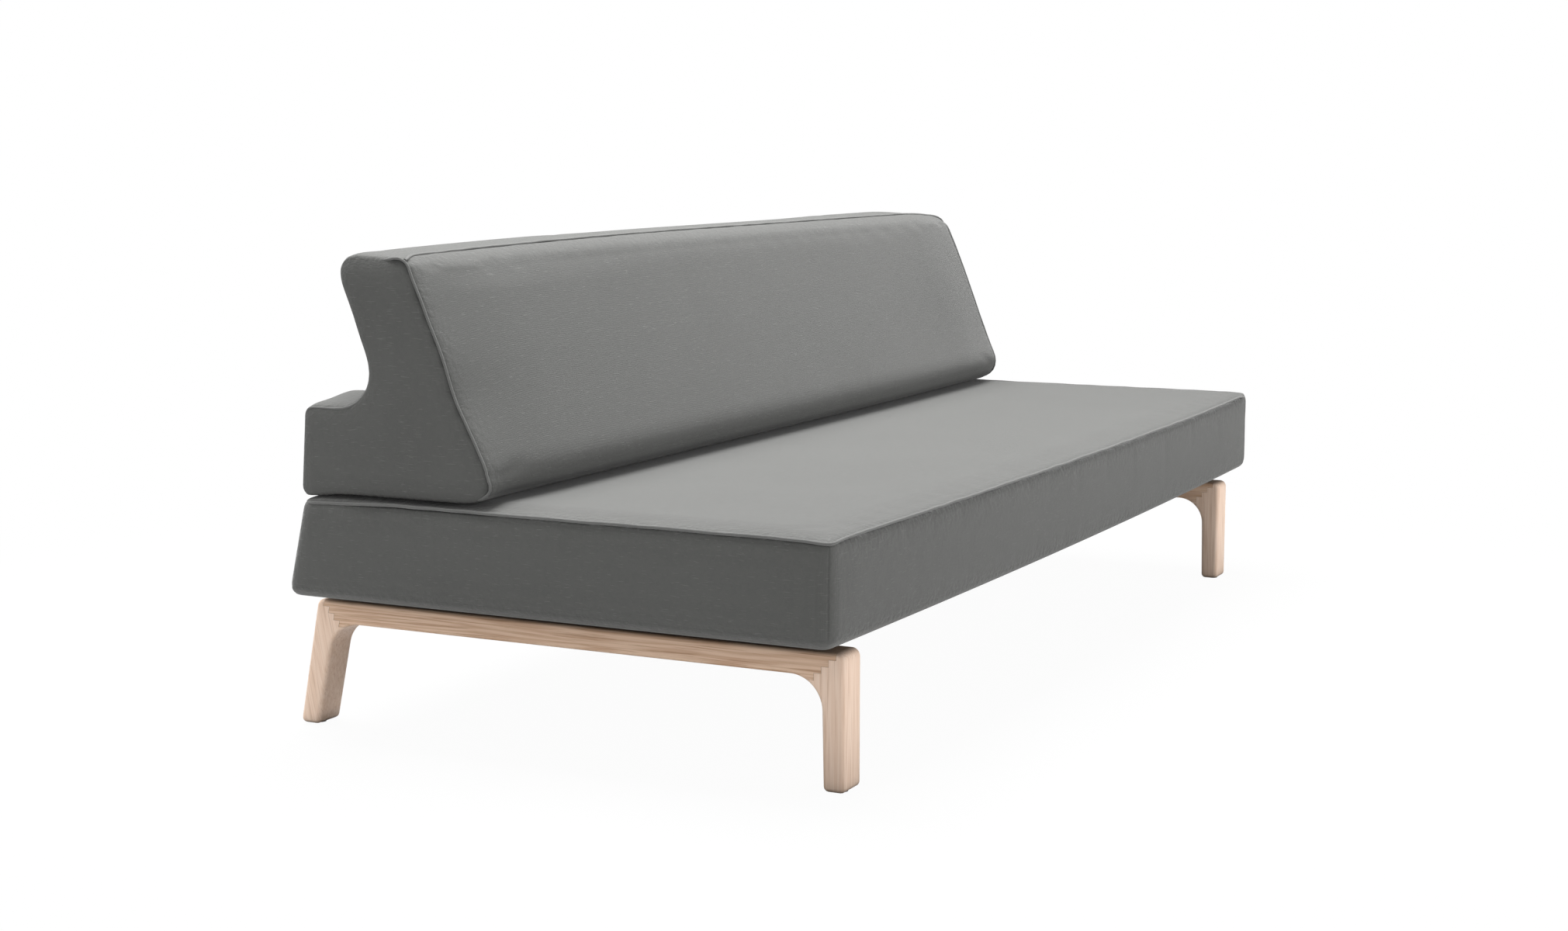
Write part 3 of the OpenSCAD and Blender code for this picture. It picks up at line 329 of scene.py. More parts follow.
def cloth_material(name, color, slub=1.0, open_share=0.70):
    """Fine wool-like weave with fuzz and faint slubs, with painted shade where less than open_share round
    it is open.
    """
    material = bpy.data.materials.new(name)
    material.use_nodes = True
    nodes, links = material.node_tree.nodes, material.node_tree.links
    bsdf = nodes["Principled BSDF"]
    place = nodes.new("ShaderNodeTexCoord")

    def scaled(x, y, z):
        mapping = nodes.new("ShaderNodeMapping")
        mapping.inputs["Scale"].default_value = (x, y, z)
        links.new(place.outputs["Object"], mapping.inputs["Vector"])
        return mapping.outputs["Vector"]

    def math_node(operation, a, b=0.0, c=0.0):
        node = nodes.new("ShaderNodeMath")
        node.operation = operation
        for socket, value in zip(node.inputs, (a, b, c)):
            if isinstance(value, (int, float)):
                socket.default_value = value
            else:
                links.new(value, socket)
        return node.outputs[0]

    def noise_node(vector, scale, detail=2.0, rough=0.5):
        node = nodes.new("ShaderNodeTexNoise")
        node.inputs["Scale"].default_value = scale
        node.inputs["Detail"].default_value = detail
        node.inputs["Roughness"].default_value = rough
        links.new(vector, node.inputs["Vector"])
        return node.outputs["Fac"]

    # Threads cross in both directions of every panel
    waves = nodes.new("ShaderNodeSeparateXYZ")
    links.new(scaled(5200.0, 5200.0, 5200.0), waves.inputs[0])
    wobble = math_node("MULTIPLY", noise_node(place.outputs["Object"], 120.0, 1.0), 9.0)
    threads = math_node("ADD", math_node("SINE", math_node("ADD", waves.outputs[0], wobble)),
                        math_node("ADD", math_node("SINE", math_node("ADD", waves.outputs[1], wobble)),
                                  math_node("SINE", math_node("ADD", waves.outputs[2], wobble))))
    fuzz = noise_node(place.outputs["Object"], 900.0, 3.0, 0.6)
    # Slubs lie along the sofa on level cloth and level on upright cloth
    level = nodes.new("ShaderNodeSeparateXYZ")
    links.new(place.outputs["Normal"], level.inputs[0])
    lies = math_node("GREATER_THAN", math_node("ABSOLUTE", level.outputs[2]), 0.75)
    along = nodes.new("ShaderNodeMix")
    along.data_type = "VECTOR"
    links.new(lies, along.inputs["Factor"])
    links.new(scaled(60.0, 60.0, 620.0), along.inputs[4])
    links.new(scaled(60.0, 620.0, 60.0), along.inputs[5])
    streak = noise_node(along.outputs[1], 1.0, 1.0)
    slubs = nodes.new("ShaderNodeMapRange")
    slubs.interpolation_type = "SMOOTHSTEP"
    slubs.inputs["From Min"].default_value = 0.64
    slubs.inputs["From Max"].default_value = 0.72
    links.new(streak, slubs.inputs["Value"])
    cloudy = noise_node(place.outputs["Object"], 7.0, 3.0)
    shade = math_node("ADD", math_node("MULTIPLY", fuzz, 0.24),
                      math_node("ADD", math_node("MULTIPLY", threads, 0.02),
                                math_node("ADD", math_node("MULTIPLY", cloudy, 0.10), 0.83)))
    shade = math_node("ADD", shade, math_node("MULTIPLY", slubs.outputs[0], 0.28 * slub))
    # Painted shade: the base colour is darkened along the stitched line, and where little round the cloth
    # is open, as in a crease
    line = nodes.new("ShaderNodeAttribute")
    line.attribute_name = "seam_shade"
    dark = math_node("MULTIPLY", math_node("POWER", line.outputs["Fac"], 1.6), -0.45)
    crease = nodes.new("ShaderNodeAmbientOcclusion")
    crease.samples = 8
    crease.inputs["Distance"].default_value = 0.05
    painted_crease_shade = nodes.new("ShaderNodeMapRange")
    painted_crease_shade.interpolation_type = "SMOOTHSTEP"
    painted_crease_shade.inputs["From Min"].default_value = 0.15
    painted_crease_shade.inputs["From Max"].default_value = open_share
    painted_crease_shade.inputs["To Min"].default_value = 0.02
    links.new(crease.outputs["AO"], painted_crease_shade.inputs["Value"])
    shade = math_node("MULTIPLY", shade, math_node("MULTIPLY", painted_crease_shade.outputs[0],
                                                   math_node("ADD", dark, 1.0)))
    tint = nodes.new("ShaderNodeMix")
    tint.data_type = "RGBA"
    tint.blend_type = "MULTIPLY"
    tint.inputs["Factor"].default_value = 1.0
    tint.inputs[6].default_value = (*color, 1.0)
    gray = nodes.new("ShaderNodeCombineColor")
    for socket in gray.inputs:
        links.new(shade, socket)
    links.new(gray.outputs[0], tint.inputs[7])
    links.new(tint.outputs[2], bsdf.inputs["Base Color"])
    height = math_node("ADD", math_node("MULTIPLY", threads, 0.25),
                       math_node("ADD", fuzz, math_node("MULTIPLY", slubs.outputs[0], 0.8)))
    near = nodes.new("ShaderNodeAttribute")
    near.attribute_name = "near_seam"
    puckers = nodes.new("ShaderNodeBump")
    puckers.inputs["Strength"].default_value = 0.6
    puckers.inputs["Distance"].default_value = 0.005
    links.new(math_node("MULTIPLY", near.outputs["Fac"],
                        noise_node(place.outputs["Object"], 110.0, 2.0)), puckers.inputs["Height"])
    bump = nodes.new("ShaderNodeBump")
    bump.inputs["Strength"].default_value = 0.35
    bump.inputs["Distance"].default_value = 0.0006
    links.new(height, bump.inputs["Height"])
    links.new(puckers.outputs[0], bump.inputs["Normal"])
    links.new(bump.outputs[0], bsdf.inputs["Normal"])
    bsdf.inputs["Roughness"].default_value = 0.92
    bsdf.inputs["Specular IOR Level"].default_value = 0.25
    bsdf.inputs["Sheen Weight"].default_value = 0.28
    bsdf.inputs["Sheen Roughness"].default_value = 0.42
    bsdf.inputs["Sheen Tint"].default_value = (0.95, 0.95, 0.94, 1.0)
    return material


cover_cloth = cloth_material("cover_cloth", (0.101, 0.102, 0.098))
# The cords' cloth is the cover's cloth painted lighter, a painted highlight on the proud cords, and it
# takes less painted crease shade.
welt_cloth = cloth_material("welt_cloth", (0.140, 0.141, 0.137), slub=0.0, open_share=0.38)
lining_cloth = cloth_material("lining_cloth", (0.022, 0.022, 0.023), slub=0.0)
seat_cover.data.materials.append(cover_cloth)
seat_cover.data.materials.append(lining_cloth)
for polygon in seat_cover.data.polygons:
    polygon.material_index = int(polygon.center.z < seat_low_z + 0.002)
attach(seat_cover, "sofa_base")
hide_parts("seat_foam", "seat_top_panel", "seat_front_panel", "seat_rear_panel",
            "seat_left_panel", "seat_right_panel", "seat_bottom_panel")

# Corded seam of the seat. A cord wrapped in the cover's cloth is sewn in between the top and the
# side panels, and it wanders a little where the machine stitched it.
cord_r = 0.0024


def spread(points, step, closed):
    """The same path with a point at least every step."""
    path = []
    ends = points[1:] + points[:1] if closed else points[1:]
    for a, b in zip(points, ends):
        count = max(1, math.ceil((b - a).length / step))
        path += [a.lerp(b, i / count) for i in range(count)]
    return path if closed else path + [points[-1]]


def cord_piece(name, paths, radius):
    curve = bpy.data.curves.new(name, "CURVE")
    curve.dimensions = "3D"
    curve.bevel_depth = radius
    curve.bevel_resolution = 2
    curve.use_fill_caps = True
    for points, closed in paths:
        spline = curve.splines.new("POLY")
        spline.points.add(len(points) - 1)
        spline.use_cyclic_u = closed
        for point, co in zip(spline.points, points):
            point.co = (*co, 1.0)
    drawn = bpy.data.objects.new(name, curve)
    scene.collection.objects.link(drawn)
    mesh = bpy.data.meshes.new_from_object(drawn.evaluated_get(bpy.context.evaluated_depsgraph_get()))
    bpy.data.objects.remove(drawn)
    mesh.name = name
    for polygon in mesh.polygons:
        polygon.use_smooth = True
    piece = bpy.data.objects.new(name, mesh)
    scene.collection.objects.link(piece)
    piece.data.materials.clear()
    piece.data.materials.append(welt_cloth)
    return piece


def wander(co, amount, seed):
    at = Vector((co.x * 26.0, co.y * 26.0, co.z * 26.0 + seed))
    return co + amount * Vector((noise.noise(at), noise.noise(at + Vector((9, 0, 0))),
                                 noise.noise(at + Vector((0, 9, 0)))))


cord_proud = 0.0008
rear_sewn_in, far_corner_sewn_in = 0.0036, 0.0056
seat_path = [bowed(co) for co in spread(seat_seam_path, 0.012, True)]
seat_middle = Vector((0.0, (seat_front_y + seat_rear_y) / 2, seat_seam_z))
for co in seat_path:
    # The cord stands a little proud, and lies deeper at the rear and round the right corners
    sewn_in = rear_sewn_in * ease(co.y, 0.24, 0.37) - cord_proud
    sewn_in += far_corner_sewn_in * math.exp(-(corner_seam_distance(co) / 0.045) ** 2) * (co.x > 0.0)
    co += Vector((math.copysign(sewn_in, -co.x), math.copysign(sewn_in, seat_middle.y - co.y), -sewn_in))
seat_path = [seat_settled(co) for co in seat_path]
seat_cord = cord_piece("seat_cord", [([wander(co, 0.0008, 4.0) for co in seat_path], True)], cord_r)
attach(seat_cord, "sofa_base")
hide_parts("seat_welt")

# Back cushion. A loose Z-shaped foam cushion stands on the seat: a deep foot with a ledge behind it
# and a leaning back. Its cover is one band of panels round the foam and a flat panel at each end,
# with corded seams round both ends and just behind the front edge of the top.
back_half_l = 0.985
back_z = 0.3703
back_top_z = 0.7133
ledge_z = 0.4940
nose_y, heel_y, ledge_y, cove_y, crest_y = 0.0615, 0.4065, 0.3970, 0.2575, 0.34072
front_lean = math.tan(math.radians(24.0))
brow_y, brow_r = 0.21421, 0.022
back_corners = [((nose_y, back_z), 0.042, 8), ((heel_y, back_z), 0.014, 4),
                ((ledge_y, ledge_z), 0.014, 4), ((cove_y, ledge_z), 0.060, 9),
                ((crest_y, back_top_z), 0.028, 7), ((brow_y, back_top_z), brow_r, 6)]
back_grid = 0.0145
back_crown = 0.0107
back_crown_reach = 0.22
top_seam_y = 0.2310
back_cord_r = 0.0020
front_hollow, nose_blunt, nose_lift, heel_sag = 0.0065, 0.0110, 0.0050, 0.0065
top_tilt, crest_out, end_over, over_z = 0.0045, 0.0032, 0.0060, 0.655
askew, worn_corner = 0.0100, 0.0090

bm = bmesh.new()
ring = [bm.verts.new((0.0, y, z)) for (y, z), _, _ in back_corners]
bm.faces.new(ring)
for i, ((y, z), radius, segments) in enumerate(back_corners):
    corner = Vector((y, z))
    before = (Vector(back_corners[i - 1][0]) - corner).normalized()
    after = (Vector(back_corners[(i + 1) % 6][0]) - corner).normalized()
    v = min(bm.verts, key=lambda v: (v.co - Vector((0.0, y, z))).length)
    bmesh.ops.bevel(bm, geom=[v], offset=radius / math.tan(before.angle(after) / 2),
                    segments=segments, affect="VERTICES", profile=0.5, material=-1)
back_profile = [v.co.copy() for v in bm.faces[:][0].verts]
bmesh.ops.inset_region(bm, faces=bm.faces[:], thickness=seam_half_w, use_even_offset=True)
cuts(bm, everything(bm), back_z + back_grid, back_top_z - back_grid, back_grid, 2)
cuts(bm, everything(bm), nose_y + back_grid, heel_y - back_grid, back_grid, 1)
rim = [v for v in bm.verts if v.is_boundary]
bmesh.ops.remove_doubles(bm, verts=rim, dist=0.0035)
near = bmesh.ops.find_doubles(bm, verts=bm.verts[:], keep_verts=[v for v in bm.verts if v.is_boundary],
                              dist=0.0030)
bmesh.ops.weld_verts(bm, targetmap=near["targetmap"])
bmesh.ops.translate(bm, verts=bm.verts[:], vec=(-back_half_l, 0.0, 0.0))
far = bmesh.ops.extrude_face_region(bm, geom=bm.faces[:], use_keep_orig=True)["geom"]
bmesh.ops.translate(bm, verts=[g for g in far if isinstance(g, bmesh.types.BMVert)],
                    vec=(2 * back_half_l, 0.0, 0.0))
bmesh.ops.recalc_face_normals(bm, faces=bm.faces[:])
for x in (-back_half_l + seam_half_w, back_half_l - seam_half_w):
    bmesh.ops.bisect_plane(bm, geom=everything(bm)(), dist=1e-6, plane_co=(x, 0, 0), plane_no=(1, 0, 0))
cuts(bm, everything(bm), -back_half_l + 0.018, back_half_l - 0.018, back_grid, 0)
for y in (top_seam_y - 0.004, top_seam_y, top_seam_y + 0.004):
    upper = [f for f in bm.faces if f.calc_center_median().z > back_top_z - 0.0008]
    around = list({e for f in upper for e in f.edges}) + list({v for f in upper for v in f.verts})
    bmesh.ops.bisect_plane(bm, geom=upper + around, dist=1e-6, plane_co=(0, y, 0), plane_no=(0, 1, 0))
bmesh.ops.remove_doubles(bm, verts=bm.verts[:], dist=0.0012)
back_cover = new_piece("back_cover", bm)


def band_distance(co):
    """How far a point of the band round the cushion lies from the nearer end seam."""
    return back_half_l - abs(co.x)


back_outline = spread(back_profile, 0.001, True)
outline_tree = kdtree.KDTree(len(back_outline))
for i, p in enumerate(back_outline):
    outline_tree.insert((0.0, p.y, p.z), i)
outline_tree.balance()


def outline_distance(co):
    """How far a point of an end panel lies from the panel's seam."""
    return outline_tree.find((0.0, co.y, co.z))[2]


def front_share(co):
    """1 along the cushion's leaning front edge, where the cord stands proud, and 0 elsewhere."""
    behind = co.y - nose_y - (co.z - back_z) * front_lean
    return max(0.0, min(1.0, (0.050 - behind) / 0.030))


def soft_share(co):
    """1 on the cushion's upper part behind the front edge, where the end seams hardly show."""
    return (1.0 - front_share(co)) * ease(co.z, 0.60, 0.66)


pinned = []
normals = [v.normal.copy() for v in back_cover.data.vertices]
for v, normal in zip(back_cover.data.vertices, normals):
    co = v.co
    distance = band_distance(co)
    if distance < 1e-4:
        inside = outline_distance(co)
        if inside < seam_half_w + 0.001:
            pinned.append(v.index)
        elif co.z > back_z + 0.01:
            co.x += math.copysign(0.0024 * rise(inside, 0.06), co.x)
    elif normal.z < -0.6:
        pinned.append(v.index)
    else:
        out = Vector((0.0, normal.y, normal.z))
        co += out.normalized() * back_crown * rise(distance, back_crown_reach)
        co.z = max(co.z, back_z)
        if distance < seam_half_w + 1e-4 or (co.z > back_top_z - 0.015 and abs(co.y - top_seam_y) < 0.0045):
            pinned.append(v.index)
inflate(back_cover, pinned, 4.0, lambda co: 0.0012 if band_distance(co) > 1e-4 else 0.0008)


def top_seam_at(x):
    """The top's front seam, which turns down into the front corner at either end."""
    y = top_seam_y - 0.0145 * math.exp(-((back_half_l - abs(x)) / 0.028) ** 2)
    over_brow = math.sqrt(brow_r ** 2 - max(0.0, 0.2285 - y) ** 2)
    return Vector((x, y, back_top_z - brow_r + over_brow))


def back_seam_distance(co):
    """How far a point of the cover lies from the nearest seam, further where a seam is hardly seen."""
    inward = band_distance(co)
    shown_on_top = 0.25 * (co.z > 0.70 and co.y < 0.33)
    shown_on_ledge = 0.55 * (0.48 < co.z < 0.51 and co.y > 0.28)
    shown = max(front_share(co), shown_on_top, shown_on_ledge)
    distance = seam_reach_share * (inward if inward > 0.0015 else outline_distance(co))
    distance += 0.0035 * (1.0 - shown)
    if co.z > back_top_z - 0.012 and co.y < 0.29 and inward > 0.0015:
        return min(distance, seam_reach_share * abs(co.y - top_seam_at(co.x).y))
    return distance


def back_seam_depth(co):
    distance = band_distance(co)
    nearest = back_seam_distance(co)
    if co.z < back_z + 0.004:
        return 0.0
    depth = 0.0008 * math.exp(-nearest / 0.02) * noise.noise(Vector((co.x * 26, co.y * 26, co.z * 26)))
    if abs(distance) < 0.0008 and outline_distance(co) < 0.0012:
        depth += 0.0026 + 0.0012 * front_share(co) + 0.0018 * soft_share(co)
    elif abs(distance - seam_half_w) < 0.0008 or (distance < 0.0008 and outline_distance(co) < 0.006):
        depth += 0.0014 * soft_share(co)
    elif co.z > back_top_z - 0.003 and abs(co.y - top_seam_y) < 0.0006:
        depth += 0.0032 * ease(distance, 0.030, 0.060)
    return depth


def seat_top_at(co):
    return seat_seam_z + (seat_crown + 0.0016) * rise(seat_edge_distance(co), seat_crown_reach)


def settled(co):
    """Where sewing and weight bring a point of the cushion, the seams' pull at the ends most of all."""
    inward = band_distance(co)
    near_end = math.exp(-inward / 0.10)
    front_y = nose_y + (co.z - back_z) * front_lean
    # The front edge hollows at mid height of the left end, and the nose is blunt there
    left = near_end * (co.x < 0.0)
    hollow = front_hollow * math.exp(-((co.z - 0.515) / 0.046) ** 2)
    hollow *= max(0.0, 1.0 - abs(co.y - front_y) / 0.08)
    blunt = nose_blunt * ease(0.4123 - co.z, 0.0, 0.030) * (1.0 - ease(co.y, 0.100, 0.150))
    y = co.y + left * (hollow - blunt)
    z = co.z
    # The top rises to the rear and is fullest in the middle of its length
    on_top = ease(co.z, 0.66, 0.70)
    slow_crown = rise(inward, back_crown_reach) - rise(inward, 0.9)
    z += on_top * (top_tilt * ease(co.y, 0.214, 0.341)
                   - back_crown * ease(-co.x, -0.4, 0.2) * slow_crown)
    # The ledge is plump right up to its seams
    on_ledge = ease(co.z, 0.470, 0.486) * ease(co.y, 0.262, 0.300) * (1.0 - ease(co.y, 0.385, 0.406))
    on_ledge *= 1.0 - ease(co.z, 0.520, 0.560)
    z += on_ledge * (0.0060 * rise(inward, 0.012) + 0.0055 * rise(inward, 0.10)
                     + 0.0060 * math.exp(-((inward - 0.095) / 0.035) ** 2)
                     - back_crown * rise(inward, back_crown_reach))
    # The heel sags over the seat's edge and the nose lifts
    low = 1.0 - ease(co.z, 0.380, 0.470)
    z -= heel_sag * low * near_end * ease(co.y, 0.320, 0.400)
    z += nose_lift * low * near_end * (1.0 - ease(co.y, 0.060, 0.140))
    # The end panels lean in at the top, where the sewing rounds them over, and the left crest is full
    over = max(0.0, (co.z - over_z) / (back_top_z - over_z)) ** 2 * (1.0 - 0.6 * front_share(co))
    x = co.x - math.copysign(end_over * over * math.exp(-inward / 0.015), co.x)
    y += crest_out * left * ease(co.z, 0.60, 0.68) * ease(co.y, 0.26, 0.33)
    # The right end stands a little askew, and its top corner is worn round
    right = near_end * (co.x > 0.0)
    turned = askew * ease(co.x, 0.3, back_half_l) * (1.0 - ease(co.z, 0.43, 0.70))
    y += turned * (1.0 - ease(co.y, 0.10, 0.25))
    z -= worn_corner * right ** 10 * ease(co.z, 0.685, 0.715)
    moved = Vector((x, y, z))
    moved.z = max(moved.z, min(back_z, seat_top_at(moved)))
    return moved


mark_seams(back_cover, back_seam_distance)
draw_in(back_cover, back_seam_depth)
for v in back_cover.data.vertices:
    v.co = settled(v.co)
smooth = back_cover.modifiers.new("smooth", "SUBSURF")
smooth.levels = smooth.render_levels = 1
back_cover.data.materials.append(cover_cloth)
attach(back_cover, "back_cushion")
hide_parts("back_foot_foam", "back_upper_foam", "back_front_panel", "back_rear_panel",
            "back_foot_panel", "back_base_panel", "back_left_panel", "back_right_panel")

# Corded seams round the two end panels of the back cushion. Thin cords wrapped in the cover's cloth
# are sewn in as on the seat: they stand out along the front edge and hardly show elsewhere.
end_paths = []
round_seam = spread(back_profile, 0.007, True)
for side in (-1.0, 1.0):
    path = []
    for i, p in enumerate(round_seam):
        along = (round_seam[(i + 1) % len(round_seam)] - round_seam[i - 1]).normalized()
        sewn_in = 0.0034 - 0.0023 * front_share(p) + 0.0030 * soft_share(p)
        co = Vector((side * (back_half_l - sewn_in), p.y - sewn_in * along.z, p.z + sewn_in * along.y))
        co = settled(co)
        co.z = max(co.z, seat_top_at(co) + cord_r)
        path.append(wander(co, 0.0004 + 0.0006 * front_share(p), side))
    end_paths.append((path, True))
back_end_cords = cord_piece("back_end_cords", end_paths, back_cord_r)
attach(back_end_cords, "back_cushion")
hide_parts("back_end_welts")

# Corded seam along the top of the back cushion, close behind its rounded front edge. It joins the
# front panel to the top panel, and its cord is as thick as the seat's.
top_path = []
half_count = 120
for i in range(2 * half_count + 1):
    x = (back_half_l - 0.0015) * (i / half_count - 1.0)
    lifted = Vector((0.0, 0.0, (back_crown + 0.0004) * rise(back_half_l - abs(x), back_crown_reach)))
    top_path.append(wander(settled(top_seam_at(x) + lifted), 0.0007, 2.0))
back_top_cord = cord_piece("back_top_cord", [(top_path, False)], cord_r)
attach(back_top_cord, "back_cushion")
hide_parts("back_top_welt")

# Leg frames. Each end stands on a U of oiled ash: a flat rail with softly rounded edges and a leg
# at either end, the rear one splayed. Rail and leg meet in a comb joint, cut in small steps from
# the top inwards, so rail grain and leg grain alternate round the corner.
rail_w = 0.055
frame_inner_x = 0.861
frame_front_y = -0.4365
frame_rear_y = 0.435166
rail_top_z = 0.196
rail_under_z = 0.161
rear_splay = math.radians(11.0)
glide_z = 0.0025
foot_r, inner_r, shoulder_r = 0.0076, 0.048, 0.012
rim_r = 0.0068
joint_first, joint_run, joint_drop, joint_steps = 0.013, 0.011, 0.010, 6
bolt_ys = (-0.29654, -0.0215, 0.25354)
frame_corners = [((frame_front_y, glide_z), foot_r, 4), ((-0.4035, glide_z), foot_r, 4),
                 ((-0.400224, rail_under_z), inner_r, 14), ((0.405015, rail_under_z), inner_r, 14),
                 ((0.439161, glide_z), foot_r, 4), ((0.472779, glide_z), foot_r, 4),
                 ((frame_rear_y, rail_top_z), shoulder_r, 7),
                 ((frame_front_y, rail_top_z), shoulder_r, 7)]


def frame_blank(x0):
    """A whole leg frame before its joints are cut."""
    bm = bmesh.new()
    bm.faces.new([bm.verts.new((x0, y, z)) for (y, z), _, _ in frame_corners])
    for i, ((y, z), radius, segments) in enumerate(frame_corners):
        corner = Vector((y, z))
        before = (Vector(frame_corners[i - 1][0]) - corner).normalized()
        after = (Vector(frame_corners[(i + 1) % 8][0]) - corner).normalized()
        v = min(bm.verts, key=lambda v: (v.co - Vector((x0, y, z))).length)
        bmesh.ops.bevel(bm, geom=[v], offset=radius / math.tan(before.angle(after) / 2),
                        segments=segments, affect="VERTICES", profile=0.5, material=-1)
    far = bmesh.ops.extrude_face_region(bm, geom=bm.faces[:], use_keep_orig=True)["geom"]
    bmesh.ops.translate(bm, verts=[g for g in far if isinstance(g, bmesh.types.BMVert)],
                        vec=(rail_w, 0.0, 0.0))
    bmesh.ops.recalc_face_normals(bm, faces=bm.faces[:])
    rims = [e for e in bm.edges if abs(e.verts[0].co.x - e.verts[1].co.x) < 1e-6]
    bmesh.ops.bevel(bm, geom=rims, offset=rim_r, segments=5, affect="EDGES", profile=0.5,
                    material=-1)
    return bm


def stepped_cutter(rear, gap):
    """Everything on the leg's side of a comb joint, moved by half the glue line."""
    lean = rear_splay if rear else 0.0
    line = []
    for k in range(joint_steps):
        for e in (0, 1):
            line.append((joint_first + k * joint_run - (k + e) * joint_drop * math.tan(lean),
                         -(k + e) * joint_drop))
    outline = [(-0.5, 0.02), (line[0][0], 0.02), *line, (line[-1][0], -0.25), (-0.5, -0.25)]
    bm = bmesh.new()
    points = []
    for y, z in outline:
        y, z = y + gap, z - gap
        place = (frame_rear_y - y) if rear else (frame_front_y + y)
        points.append(bm.verts.new((-1.0, place, rail_top_z + z)))
    bm.faces.new(points)
    far = bmesh.ops.extrude_face_region(bm, geom=bm.faces[:], use_keep_orig=True)["geom"]
    bmesh.ops.translate(bm, verts=[g for g in far if isinstance(g, bmesh.types.BMVert)],
                        vec=(2.0, 0.0, 0.0))
    bmesh.ops.recalc_face_normals(bm, faces=bm.faces[:])
    return bm


def cut_piece(name, blank, cutters):
    """A piece left of the blank after boolean cuts, each cutter given with its operation."""
    piece = new_piece(name, blank)
    tools = []
    for tool_bm, operation in cutters:
        tool = new_piece(name + "_tool", tool_bm)
        cut = piece.modifiers.new("cut", "BOOLEAN")
        cut.object = tool
        cut.operation = operation
        cut.solver = "EXACT"
        tools.append(tool)
    mesh = bpy.data.meshes.new_from_object(piece.evaluated_get(bpy.context.evaluated_depsgraph_get()))
    piece.modifiers.clear()
    old, piece.data = piece.data, mesh
    mesh.name = name
    bpy.data.meshes.remove(old)
    for tool in tools:
        bpy.data.meshes.remove(tool.data)
    for polygon in mesh.polygons:
        polygon.use_smooth = True
    mesh.set_sharp_from_angle(angle=math.radians(32.0))
    return piece


def bolt_drills(x0):
    """Shank holes and wide holes for the bolt heads, drilled up from below."""
    bm = bmesh.new()
    for y in bolt_ys:
        for radius, low, high in ((0.0045, 0.15, 0.21), (0.0095, 0.15, 0.175)):
            made = bmesh.ops.create_cone(bm, cap_ends=True, segments=32, radius1=radius,
                                         radius2=radius, depth=high - low)
            bmesh.ops.translate(bm, verts=made["verts"],
                                vec=(x0 + rail_w / 2, y, (low + high) / 2))
    return bm


